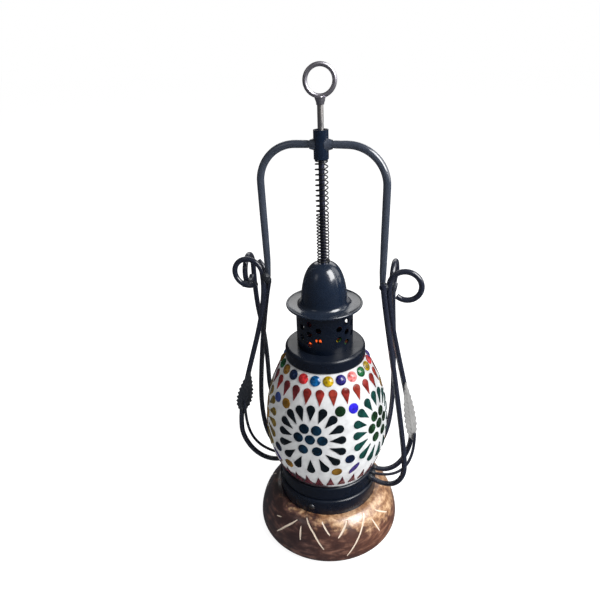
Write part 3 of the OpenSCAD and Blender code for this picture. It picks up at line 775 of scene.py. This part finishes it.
def leaf_seat(path, z, long):
    high, low = [path[np.argmax(path[:, 2] * (path[:, 2] < z + share * long))] for share in (0.4, -0.4)]
    along = (high - low) / np.linalg.norm(high - low)
    face = np.cross(along, UP)
    face = -face / np.linalg.norm(face) * np.sign(face[1])
    near = path[abs(path[:, 2] - z) < 0.5 * long]
    middle = (high + low) / 2
    middle = middle + face * (((near - middle) @ face).max() + SIDE_D / 2 + 0.2 + LEAF_THICK / 2)
    turn = Matrix([Vector(column) for column in (np.cross(along, face), along, face)]).transposed().to_4x4()
    return Matrix.Translation(Vector(middle) * MM) @ turn


left_seat = leaf_seat(routes["rod_left_front"], LEAF_Z + 18, LEAF_SHORT)
right_seat = leaf_seat(routes["rod_right_middle"], LEAF_Z + 4.5, LEAF_LONG)
print("leaves at mm:", in_mm(left_seat.translation), in_mm(right_seat.translation))


# %% Outline and relief of a leaf, in millimetres
LEAF_ROWS, LEAF_COLUMNS = 120, 20
RIB_HIGH, RIB_WIDE = 0.4, 0.8
VEIN_HIGH, VEIN_STEP = 0.14, 4.4


def leaf_half_width(t, wide):
    def at(i):
        tooth = 1 if i % 2 else 0.8
        return wide / 2 * tooth * math.sin(math.pi * (0.96 * i / (2 * LEAF_TEETH) + 0.02) ** 0.66) ** 0.8
    i = min(int(t * 2 * LEAF_TEETH), 2 * LEAF_TEETH - 1)
    share = t * 2 * LEAF_TEETH - i
    return max(at(i) * (1 - share) + at(i + 1) * share, 0.05)


def leaf_relief(across, along):
    sweep = along - 1.6 * abs(across)
    rib = RIB_HIGH * math.exp(-(across / RIB_WIDE) ** 2)
    return rib + VEIN_HIGH * math.cos(sweep * FULL_TURN / VEIN_STEP) - 0.004 * abs(across)


def leaf(name, node, finish, seat, long, wide):
    bm = bmesh.new()
    rings = []
    for j in range(LEAF_ROWS + 1):
        half = leaf_half_width(j / LEAF_ROWS, wide)
        along = long * (j / LEAF_ROWS - 0.5)
        ring = []
        for side in (-1, 1):
            for i in range(LEAF_COLUMNS + 1)[::-side]:
                share = 2 * i / LEAF_COLUMNS - 1
                thick = 0.7 * LEAF_THICK * (1 - abs(share) ** 6 * 0.6)
                height = leaf_relief(half * share, along) * 0.6 + side * thick / 2
                ring.append(bm.verts.new(seat @ (Vector((half * share, along, height)) * MM)))
        rings.append(ring)
    wrap(bm, rings)
    bmesh.ops.recalc_face_normals(bm, faces=bm.faces)
    stands_for(finished(bm, name, 50), node, finish)


dark_leaf = enamel("dark_leaf_enamel", (0.008, 0.011, 0.017), (0.03, 0.034, 0.042), 0.3, 0.42, 0.4)
pale_leaf = enamel("pale_leaf_enamel", (0.18, 0.18, 0.18), (0.45, 0.44, 0.43), 0.3, 0.5, 0.4)
leaf("struck_leaf_left", "leaf_left", dark_leaf, left_seat, LEAF_SHORT, 13.5)
leaf("struck_leaf_right", "leaf_right", pale_leaf, right_seat, LEAF_LONG, 10.4)


# %% Stems of the leaves
def stem(node, seat, aside, down, weld_az, reach):
    face = np.array(seat.col[2][:3])
    start = np.array(seat.translation) / MM + face * (LEAF_THICK / 2 + STEM_D / 2 + 0.1)
    start = start + aside * np.array(around(1, math.atan2(face[0], -face[1]), 0)) - down * UP
    weld = polar(CUP_R + STEM_D / 2, weld_az, WELD_Z)
    path = bezier(start, start - reach[0] * UP, weld + polar(reach[1], weld_az, 0), weld, 40)
    stands_for(tube(node + "_bent", path * MM, STEM_D / 2 * MM, 12), node, rod_enamel)


stem("stem_left", left_seat, -2, 0.15 * LEAF_LONG, STEM_AZ[0], (20, 34))
stem("stem_right", right_seat, 5, 0.38 * LEAF_LONG, STEM_AZ[1], (14, 32))
print("bent bars:", len(named("_bent")))

# %% [markdown]
# Every row of the mosaic repeats round the globe, and one node holds a whole row. To
# colour single chips, a group works out from a point's place which chip it is in: the
# azimuth gives its number round the globe, and which side of its middle it is on.

# %% Shared group: place round the globe
tree, given, result = shader_group("Place Round Globe", ("Cell", "Off", "Side", "Height"),
                                   Middle=0.0, Count=5.0)
x, y, z = axes(place_of(tree))
turns = (worked("ARCTAN2", y, x) - given["Middle"]) / FULL_TURN
counted = worked("WRAP", turns * given["Count"] + 0.5, given["Count"], 0.0)
off = worked("FRACT", counted) - 0.5
feed(result, Cell=worked("FLOOR", counted), Off=off, Side=off > 0.0, Height=z)
print("group nodes:", len(tree.nodes))

# %% [markdown]
# Glass chips are dark and clear, with a wet gloss, tiny scratches and a little smeared
# grout. A second group varies a chip's colour, so that no two look printed, and adds
# painted glow in patches and painted sparkle in small cells, most in the thick cabochons.

# %% Shared group: cut glass
SMEARED_GROUT = (0.5, 0.5, 0.48)
tree, given, result = shader_group("Cut Glass", LAYER, Glass=(0.02, 0.03, 0.05), Lit=0.3, Facets=0.5)
depth = cloud(tree, 6 * MM, 2)
fine = cloud(tree, 0.9 * MM, 5, 0.7)
# Painted glow and sparkle: patches and small cells of the glass are made lighter or darker, standing in for
# light through the glass and its glints.
painted_glow = (depth - 0.42).at_least(0.0) * given["Lit"]
facet_sparkle = (cells(tree, 1.9 * MM) - 0.42) * given["Facets"]
bright = read(tree, "HueSaturation", "Color", Value=1.0 + facet_sparkle + painted_glow * 14.0, Color=given["Glass"])
smear = (fine > 0.72) * 0.12
feed(result, Color=blend(smear, bright, SMEARED_GROUT), Roughness=0.07 + fine * 0.16,
     Height=depth + fine * 0.25)


def cut_glass(name, colours, middle, count, painted_glow, numbered=None, specular=0.25, sparkle=0.6):
    made, tree, shader = material(name, Specular_IOR_Level=specular, Coat_Weight=0.15, Coat_Roughness=0.04)
    place = use_group(tree, "Place Round Globe", Middle=math.radians(middle), Count=float(count))
    chip = numbered(place) if numbered else place["Cell"]
    colour = steps((chip + 0.5) / float(len(colours)), colours)
    lay_over(shader, use_group(tree, "Cut Glass", Glass=colour, Lit=painted_glow, Facets=sparkle), 0.15 * MM)
    return made


print("groups:", sorted(g.name for g in bpy.data.node_groups))

# %% [markdown]
# The colours are matched, one name each. Rows and rosettes are then lists of
# names, in order round the globe from the one that faces the camera.

# %% Colours of the glass
RUBY = (0.12, 0.012, 0.01)
GARNET = (0.07, 0.01, 0.012)
SCARLET = (0.14, 0.017, 0.011)
ORANGE = (0.5, 0.06, 0.01)
RED = (0.24, 0.012, 0.014)
PINK = (0.5, 0.12, 0.12)
AMBER = (0.11, 0.055, 0.007)
YELLOW = (0.2, 0.13, 0.002)
OLIVE = (0.11, 0.075, 0.012)
GREEN = (0.004, 0.045, 0.014)
LEAF_GREEN = (0.004, 0.016, 0.006)
SEA = (0.003, 0.026, 0.022)
TEAL = (0.001, 0.04, 0.12)
NAVY = (0.002, 0.006, 0.022)
INDIGO = (0.011, 0.009, 0.08)
BLUE = (0.018, 0.012, 0.36)
SLATE = (0.02, 0.035, 0.12)
VIOLET = (0.03, 0.02, 0.1)
INK = (0.002, 0.004, 0.006)
INK_TEAL = (0.001, 0.007, 0.015)
MAROON = (0.06, 0.012, 0.02)

# The darker garnet drops gather at the end of the list, on the left, as painted shade; elsewhere the shades
# vary at random.
ruby_colours = [RUBY, SCARLET, RUBY, SCARLET, RUBY, RUBY, SCARLET, RUBY, GARNET, RUBY, RUBY, SCARLET, RUBY,
                RUBY, GARNET, RUBY, SCARLET, RUBY, RUBY, GARNET, GARNET, RUBY, GARNET, GARNET, RUBY]
cabochon_colours = [TEAL, YELLOW, INDIGO, PINK, GREEN, YELLOW, RED, VIOLET, TEAL, AMBER, GREEN,
                    YELLOW, ORANGE, ORANGE, NAVY, PINK, TEAL, AMBER, GREEN, AMBER, NAVY, RED]
petal_colours = [INK, SEA, MAROON, INK, OLIVE]
disc_colours = [INK_TEAL, LEAF_GREEN, OLIVE, INK_TEAL, AMBER]
filler_colours = [LEAF_GREEN, BLUE, NAVY, AMBER, VIOLET,
                  AMBER, GREEN, NAVY, AMBER, VIOLET,
                  BLUE, LEAF_GREEN, AMBER, AMBER, VIOLET,
                  NAVY, AMBER, NAVY, VIOLET, AMBER,
                  SLATE, AMBER, NAVY, VIOLET, AMBER]
print("chip colours:", len(cabochon_colours), len(filler_colours))

# %% [markdown]
# Fillers stand between the rosettes at three heights: a pair at the top, a seed in the
# middle, and a disc with a sprig below. A filler's number in the list is five times its
# gap, plus its place in the gap, worked out from height and side.

# %% Which filler a point is in
FILLER_HIGH = 116 * MM
FILLER_LOW = 90 * MM


def filler_number(place):
    in_pair = place["Height"] > FILLER_HIGH
    at_foot = place["Height"] < FILLER_LOW
    level = 2.0 + (at_foot - in_pair * 2.0)
    return place["Cell"] * 5.0 + (level + place["Side"] * (in_pair + at_foot))


# %% [markdown]
# The mosaic lies on a swelling form: half an ellipsoid above the belly and another half
# below. A chip's place is a height and an azimuth, and distances are stepped along the
# surface, as a maker lays a paper pattern on the glass.

# %% Surface of the mosaic
CAP_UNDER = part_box("cap")[0].z
CUP_TOP = cup_high.z
GLOBE_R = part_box("grout")[1].x
BELLY_Z = (CUP_FLOOR + 51) * MM
UPPER_H = 75 * MM
LOWER_H = 62 * MM
GROUT_THICK = 2 * MM


def globe_at(z, inset=0.0):
    high = (UPPER_H if z > BELLY_Z else LOWER_H) - inset
    return (GLOBE_R - inset) * math.sqrt(max(0, 1 - ((z - BELLY_Z) / high) ** 2))


def globe_lean(z):
    return math.atan2(globe_at(z - 0.5 * MM) - globe_at(z + 0.5 * MM), MM)


def step_z(z, rise):
    return z + rise * math.cos(globe_lean(z + rise / 2))


def step_az(az, z, aside):
    return az + aside / globe_at(z)


def chip_seat(az, z, turn=0.0):
    lean = globe_lean(z)
    aside = Vector((-math.sin(az), math.cos(az), 0))
    out = Vector(around(math.cos(lean), az, math.sin(lean)))
    seat = Matrix((aside, out.cross(aside), out)).transposed().to_4x4()
    seat.translation = Vector(around(globe_at(z), az, z))
    return seat @ Matrix.Rotation(turn, 4, "Z")


print("globe's radius mm under the cap and in the cup:", in_mm(map(globe_at, (CAP_UNDER, CUP_TOP))))

# %% [markdown]
# Each kind of chip is an outline. Chips are ground by hand, so their rims are soft: the
# outline is stacked in rings that step in and up, which gives the fine bright line at
# the edge of real glass. A cabochon is the same stack with a domed top.

# %% Outlines of the chips
def drop_outline(long, wide):
    head = wide / 2
    reach = long - head
    spread = math.acos(head / reach)
    middle = long / 2 - head
    arc = np.linspace(spread - math.pi, math.pi - spread, 19)
    return [(middle - reach, 0)] + [(middle + head * math.cos(a), head * math.sin(a)) for a in arc]


def disc_outline(wide):
    turn = np.arange(32) * math.pi / 16
    return [(wide / 2 * math.cos(a), wide / 2 * math.sin(a)) for a in turn]


def sprig_outline(long, wide):
    turn = np.arange(28) * math.pi / 14
    return [(long / 2 * math.cos(a), wide / 2 * math.sin(a) * math.sqrt(abs(math.sin(a)))) for a in turn]


def triangle_outline(high, wide):
    corners = [(-wide / 2, -high / 2), (wide / 2, -high / 2), (0, high / 2)]
    return [(a[0] + (b[0] - a[0]) * t, a[1] + (b[1] - a[1]) * t)
            for a, b in zip(corners, corners[1:] + corners[:1]) for t in (0.04, 0.5, 0.96)]


print("points in a drop and a disc:", len(drop_outline(2, 1)), len(disc_outline(1)))

# %% Chips from outlines
PROUD = 0.35 * MM
BED = -1.2 * MM
ground = [(0, BED), (0, PROUD - 0.25 * MM), (0.1 * MM, PROUD - 0.07 * MM), (0.35 * MM, PROUD)]


def domed(radius, rise):
    shares = (1, 0.93, 0.82, 0.66, 0.46, 0.24, 0.08)
    return [(0, BED)] + [(radius * (1 - s), PROUD + rise * (1 - s * s)) for s in shares]


def lay_chips(node, plan, finish, rings=ground):
    bm = bmesh.new()
    for outline, seat in plan:
        stack = []
        for inset, height in rings:
            kept = [(x, y, max(1 - inset / math.hypot(x, y), 0.02)) for x, y in outline]
            stack.append([bm.verts.new(seat @ Vector((x * k, y * k, height))) for x, y, k in kept])
        wrap(bm, stack)
    stands_for(finished(bm, node + "_ground", 50), node, finish)


print("rings in a flat chip:", len(ground), "in a cabochon:", len(domed(1, 1)))

# %% [markdown]
# The pattern is counted off the photograph: twenty-two cabochons, twenty-five ruby
# drops, five rosettes of seven discs and sixteen petals, five fillers in each gap, and
# thirty triangles at the foot. Rosettes are laid a little longer towards their lowest petal.

# %% Plan of the mosaic
FRONT = math.radians(-90)
CABOCHONS, DROPS, ROSETTES, PETALS, TRIANGLES = 22, 25, 5, 16, 30
CABOCHON_AZ, DROP_AZ = -88, -81.4
CABOCHON_WIDE, DISC_WIDE = 7.7 * MM, 7.8 * MM
DROP_LONG, DROP_WIDE = 12 * MM, 6.4 * MM
SPRIG_LONG, SPRIG_WIDE = 12.4 * MM, 4.8 * MM
SPRIG_TURN = math.radians(50)
PETAL_IN = 14.6 * MM
DISC_GAP = 9.2 * MM
TRIANGLE_HIGH = 12 * MM
SAG = 0.19
cabochon_z = CAP_UNDER - 4.7 * MM
drop_z = CAP_UNDER - 14.9 * MM
rosette_z = CAP_UNDER - 46 * MM
triangle_z = CUP_TOP + 0.96 * TRIANGLE_HIGH
pair_z = rosette_z + 1.8 * DROP_LONG
seed_z = rosette_z - 2.37 * DISC_WIDE
sprig_z = rosette_z - 3.8 * DISC_WIDE


def row(outline, first_az, count, z, turn=0.0):
    return [(outline, chip_seat(first_az + i * FULL_TURN / count, z, turn)) for i in range(count)]


def longer(turn):
    return 1 + SAG * max(0, -math.sin(turn))


def round_centre(az, turn, reach):
    z = step_z(rosette_z, reach * math.sin(turn))
    return step_az(az, z, reach * math.cos(turn)), z


disc = disc_outline(DISC_WIDE)
sprig = sprig_outline(SPRIG_LONG, SPRIG_WIDE)
triangle = triangle_outline(TRIANGLE_HIGH, DROP_WIDE)
cabochon_plan = row(disc_outline(CABOCHON_WIDE), math.radians(CABOCHON_AZ), CABOCHONS, cabochon_z)
drop_plan = row(drop_outline(DROP_LONG, DROP_WIDE), math.radians(DROP_AZ), DROPS, drop_z, math.pi / 2)
triangle_plan = row(triangle, FRONT + FULL_TURN / TRIANGLES / 2, TRIANGLES, triangle_z)
disc_plan, petal_plan, filler_plan = [], [], []
for k in range(ROSETTES):
    az = FRONT + k * FULL_TURN / ROSETTES
    disc_plan.append((disc, chip_seat(az, rosette_z)))
    for turn in [j * FULL_TURN / 6 for j in range(6)]:
        disc_plan.append((disc, chip_seat(*round_centre(az, turn, DISC_GAP * longer(turn)))))
    for turn in [j * FULL_TURN / PETALS for j in range(PETALS)]:
        centre = round_centre(az, turn, (PETAL_IN + DROP_LONG / 2) * longer(turn))
        petal_plan.append((drop_outline(DROP_LONG * longer(turn), DROP_WIDE), chip_seat(*centre, turn)))
    gap = az + FULL_TURN / ROSETTES / 2
    way = 1 if k < ROSETTES / 2 else -1
    for side in (-1, 1):
        filler_plan.append((disc, chip_seat(step_az(gap, pair_z, side * 0.66 * DISC_WIDE), pair_z)))
    filler_plan.append((disc, chip_seat(gap, seed_z)))
    filler_plan.append((disc, chip_seat(step_az(gap, sprig_z, -way * 1.24 * DISC_WIDE), sprig_z)))
    sprig_az = step_az(gap, sprig_z, way * 0.5 * DISC_WIDE)
    filler_plan.append((sprig, chip_seat(sprig_az, sprig_z, SPRIG_TURN * way)))
print("chips:", len(cabochon_plan + drop_plan + triangle_plan + disc_plan + petal_plan + filler_plan))

# %% Rows of chips
lay_chips("ruby_drops", drop_plan, cut_glass("ruby_glass", ruby_colours, DROP_AZ, DROPS, 0.35))
lay_chips("rosette_petals", petal_plan, cut_glass("petal_glass", petal_colours, -90, ROSETTES, 0.25))
lay_chips("rosette_discs", disc_plan, cut_glass("disc_glass", disc_colours, -90, ROSETTES, 0.6))
lay_chips("filler_chips", filler_plan,
          cut_glass("filler_glass", filler_colours, -54, ROSETTES, 0.3, filler_number))
lay_chips("maroon_triangles", triangle_plan, cut_glass("maroon_glass", [MAROON], 0, 1, 0.2))
cabochon_glass = cut_glass("cabochon_glass", cabochon_colours, CABOCHON_AZ, CABOCHONS, 0.3,
                           specular=0.5, sparkle=2.2)
lay_chips("cabochons", cabochon_plan, cabochon_glass, domed(CABOCHON_WIDE / 2, 1.5 * MM))
print("rows:", named("_ground"))

# %% [markdown]
# The grout is white cement wiped between the chips: stained and uneven, with painted shade
# along the cup, deepest on the left. The barrel behind it is clear pressed glass.
# Daylight passes through the chips, so they glow when seen from inside, through the
# chimney's lower holes. The cement's inner face has a painted glow where a cabochon or drop lies.

# %% Grout
BLACK = (0, 0, 0)
# Colour of the painted shade on the grout along the cup.
CUP_SHADE = (0.06, 0.035, 0.045)
INNER_REACH = 31 * MM
grout_cement, tree, shader = material("grout_cement", Roughness=0.62, Specular_IOR_Level=0.35)
wiped = cloud(tree, 7 * MM, 5, 0.6)
grains = cloud(tree, 0.7 * MM, 3)
stained = steps(wiped, [(0.34, 0.34, 0.35), (0.57, 0.58, 0.59), (0.72, 0.73, 0.73)], smooth=True)
coords = outputs_of(put(tree, "TexCoord"))
x, y, z = axes(coords["Object"])
# Painted shade: the grout darkens along the cup, reaching higher on the left side.
shade_line = z + ((x * 0.4).at_least(-5 * MM) + wiped * (-13 * MM))
out_of_shade = between(shade_line, CUP_TOP - 1 * MM, CUP_TOP + 3 * MM)
feed(shader, Base_Color=blend(out_of_shade, CUP_SHADE, stained))
raise_surface(shader, wiped + grains * 0.3, 0.3 * MM, 0.6)


def seen_behind(z, middle, count, half_wide, half_high):
    place = use_group(tree, "Place Round Globe", Middle=math.radians(middle), Count=float(count))
    across = place["Off"] * (FULL_TURN / count * INNER_REACH / half_wide)
    rise = (place["Height"] - z) * (1 / half_high)
    return place["Cell"], across * across + rise * rise < 1.0


# Painted glow: an emission on the inner face, in the colour of the chip in front of it.
normal_x, normal_y, _ = axes(coords["Normal"])
inside = x * normal_x + y * normal_y < 0.0
cell, round_mask = seen_behind(cabochon_z, CABOCHON_AZ, CABOCHONS, 3.7 * MM, 3.4 * MM)
_, drop_mask = seen_behind(drop_z, DROP_AZ, DROPS, 2.9 * MM, 5.4 * MM)
glow = blend(round_mask, BLACK, steps((cell + 0.5) / float(CABOCHONS), cabochon_colours))
glow = blend(drop_mask, glow, RUBY)
feed(shader, Emission_Color=blend(inside, BLACK, glow), Emission_Strength=3.0)

shell_z = np.linspace(CUP_TOP - 4 * MM, CAP_UNDER + 1 * MM, 72)
shell = [(globe_at(z), z) for z in shell_z] + [(globe_at(z, GROUT_THICK), z) for z in shell_z[::-1]]
bm = bmesh.new()
spun = [[bm.verts.new(around(r, i * FULL_TURN / 180, z)) for i in range(180)] for r, z in shell]
wrap(bm, spun, closed=True)
stands_for(finished(bm, "wiped_grout", 50), "grout", grout_cement)
print("rings of grout:", len(spun))

# %% Barrel
pressed_glass, tree, shader = material("pressed_glass", Base_Color=(0.93, 0.97, 0.96), Roughness=0.04,
                                       Transmission_Weight=1.0, IOR=1.47)
raise_surface(shader, cloud(tree, 9 * MM, 2), 0.2 * MM, 0.3)
dress(pressed_glass, "glass_barrel")
print("barrel dressed:", [slot.material.name for slot in nodes["glass_barrel"].material_slots])

# %% [markdown]
# The base is turned hardwood, scorched dark, rubbed back to gold round the collar, and
# scored with a gouge. It is spun from its profile finely enough for a groove, and every
# point near a stroke is sunk by how close it is. A mask kept with the mesh tells the
# material where raw wood shows.

# %% Strokes of the gouge
# A stroke is its width in mm and its points, each an azimuth and a height in mm.
front_strokes = [
    (1.7, [(-123, 15.5), (-115, 24), (-106, 31.5)]),
    (1.5, [(-100.5, 29), (-99, 20)]),
    (1.5, [(-97, 34.3), (-88, 27), (-79, 16)]),
    (1.3, [(-81, 34), (-74, 26.5)]),
    (1.9, [(-57, 33.3), (-66.5, 24.5)]),
    (1.4, [(-38, 33.8), (-46, 25), (-60.5, 9)]),
    (1.2, [(-32, 28.5), (-28, 17)]),
    (1.3, [(-24, 31.5), (-12, 23)]),
    (0.9, [(-128, 26), (-123, 27.5)]),
]
BACK_TURNS = (132, 222)
strokes = list(front_strokes)
for turn in BACK_TURNS:
    strokes += [(wide, [(az + turn, z) for az, z in path]) for wide, path in front_strokes[1:7]]
print("strokes:", len(strokes))


# %% Profile of the base
base_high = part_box("wooden_base")[1]
drum_low, drum_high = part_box("collar_drum")
BASE_WIDE = min(base_high.x, base_high.y)
BASE_FOOT = 46.3 * MM
BELLY = 7.4 * MM
SHOULDER = drum_low.z
LEDGE = drum_high.x + 2 * MM
SPIGOT = drum_high.x - 1.05 * MM


def swell(r0, z0, r1, z1, power, count):
    return [(r0 + (r1 - r0) * math.sin(a) ** (2 / power), z1 + (z0 - z1) * math.cos(a) ** (2 / power))
            for a in (math.pi / 2 * i / count for i in range(count + 1))]


lower = swell(BASE_FOOT, 0, BASE_WIDE, BELLY, 2.37, 16)
upper = swell(LEDGE, SHOULDER, BASE_WIDE, BELLY, 1.64, 90)[::-1]


def base_radius(z):
    half = upper if z > BELLY else lower
    return float(np.interp(z, [p[1] for p in half], [p[0] for p in half]))


profile = lower + upper[1:] + [(SPIGOT, SHOULDER), (SPIGOT, base_high.z)]
print("profile points:", len(profile))


# %% Spin and carve the base
AROUND = 720
CUT_DEPTH = 0.55 * MM
CUT_REACH = 3 * MM
CUT_EDGE = 0.15 * MM
angles = np.arange(AROUND) * FULL_TURN / AROUND
flat = np.array([around(r, a, z) for r, z in profile for a in angles])


def stroke_points(path):
    points = []
    for (az0, z0), (az1, z1) in zip(path[:-1], path[1:]):
        for t in np.linspace(0, 1, 40):
            z = (z0 + (z1 - z0) * t) * MM
            points.append(around(base_radius(z), math.radians(az0 + (az1 - az0) * t), z))
    return np.array(points)


cut = np.zeros(len(flat))
for wide, path in strokes:
    line = stroke_points(path)
    foot, top = line[:, 2].min() - CUT_REACH, line[:, 2].max() + CUT_REACH
    near = np.where((flat[:, 2] > foot) & (flat[:, 2] < top))[0]
    gap = np.linalg.norm(flat[near][:, None] - line[None], axis=2)
    along = gap.argmin(axis=1) / (len(line) - 1)
    taper = 0.35 + 0.65 * np.sin(np.pi * np.clip(along, 0.03, 0.97)) ** 0.6
    depth = np.clip(1 - gap.min(axis=1) / (wide * MM / 2 * taper + CUT_EDGE), 0, 1)
    cut[near] = np.maximum(cut[near], depth)
outward = flat / np.linalg.norm(flat * (1, 1, 0), axis=1)[:, None] * (1, 1, 0)
sunk = flat - outward * (cut * CUT_DEPTH)[:, None]

bm = bmesh.new()
mask = bm.verts.layers.float.new("cut")
made = [bm.verts.new(p) for p in sunk]
for v, value in zip(made, cut):
    v[mask] = value
wrap(bm, [made[i:i + AROUND] for i in range(0, len(made), AROUND)])
carved_base = finished(bm, "carved_base", 50)
print("carved base vertices:", len(carved_base.data.vertices), "deepest cut mm:", CUT_DEPTH / MM)

# %% [markdown]
# The finish is laid in layers, as on the real base: turned streaks, a scorch that is
# deepest low down, gold where it was rubbed, raw wood in the grooves and wax on top. On
# the right, where the light falls, the gold reaches lower and the streaks turn lighter,
# and on the left they stay dark: painted light and shade over the real scorch. Each layer
# is a mask between two colours, so it can be moved by itself.

# %% Scorched wood
GOLD_AND_LIT_SIDE = math.radians(-6)
GOLD_DROP = 18 * MM
RAW_WOOD = (0.72, 0.6, 0.48)
scorched_wood, tree, shader = material("scorched_wood", Specular_IOR_Level=0.8, Coat_Weight=0.7,
                                       Coat_Roughness=0.2)
x, y, z = axes(place_of(tree))
azimuth = worked("ARCTAN2", y, x)
lathe = read(tree, "CombineXYZ", "Vector", X=azimuth * (14 * MM), Y=0.0, Z=z)
turned = read(tree, "TexNoise", "Fac", Vector=lathe, Scale=1 / (4.5 * MM), Detail=7.0, Roughness=0.62,
              Distortion=0.5)
grain = cloud(tree, 4 * MM, 4, 0.6)
mottle = cloud(tree, 9 * MM, 5, 0.62)
broad = cloud(tree, 40 * MM, 2)

# Painted light and shade: towards the right, where the light falls, the gold reaches lower and the streaks
# turn lighter; on the left they stay darker.
towards = worked("COSINE", azimuth - GOLD_AND_LIT_SIDE)
lower_gold = towards * towards.at_least(0.3) * GOLD_DROP
gold = between(z + lower_gold + (mottle - 0.5) * (30 * MM), 33.5 * MM, 39.5 * MM)
dapples = (grain + (turned - 1.0)) * 1.6 + 0.58
tan = steps(dapples, [(0.06, 0.02, 0.012), (0.32, 0.16, 0.075), (0.72, 0.48, 0.28)], smooth=True)
streaky = turned * 1.2 + mottle * 0.4 - 0.3
ember = steps(streaky, [(0.004, 0.002, 0.004), (0.02, 0.009, 0.013), (0.26, 0.12, 0.1)], smooth=True)
rust = steps(streaky, [(0.02, 0.007, 0.005), (0.11, 0.038, 0.02), (0.6, 0.3, 0.17)], smooth=True)
# Painted light: the lighter streak colours are laid towards the right, where the light falls.
warm_and_lit = ((lower_gold * (1 / GOLD_DROP) + broad) * 0.62).at_least(0.0).at_most(1.0)
rubbed = blend(gold, blend(warm_and_lit, ember, rust), tan)
opened = between(read(tree, "Attribute", "Fac", attribute_name="cut"), 0.12, 0.4)
feed(shader, Base_Color=blend(opened, rubbed, RAW_WOOD), Roughness=0.22 + grain * 0.25)
raise_surface(shader, grain + mottle * 0.6, 0.35 * MM)
stands_for(carved_base, "wooden_base", scorched_wood)
print("wood nodes:", len(tree.nodes))

# %% [markdown]
# Last: the dressed holder lies inside the CAD's box, a little narrower, because the rods
# follow the photograph more closely than the solids do.
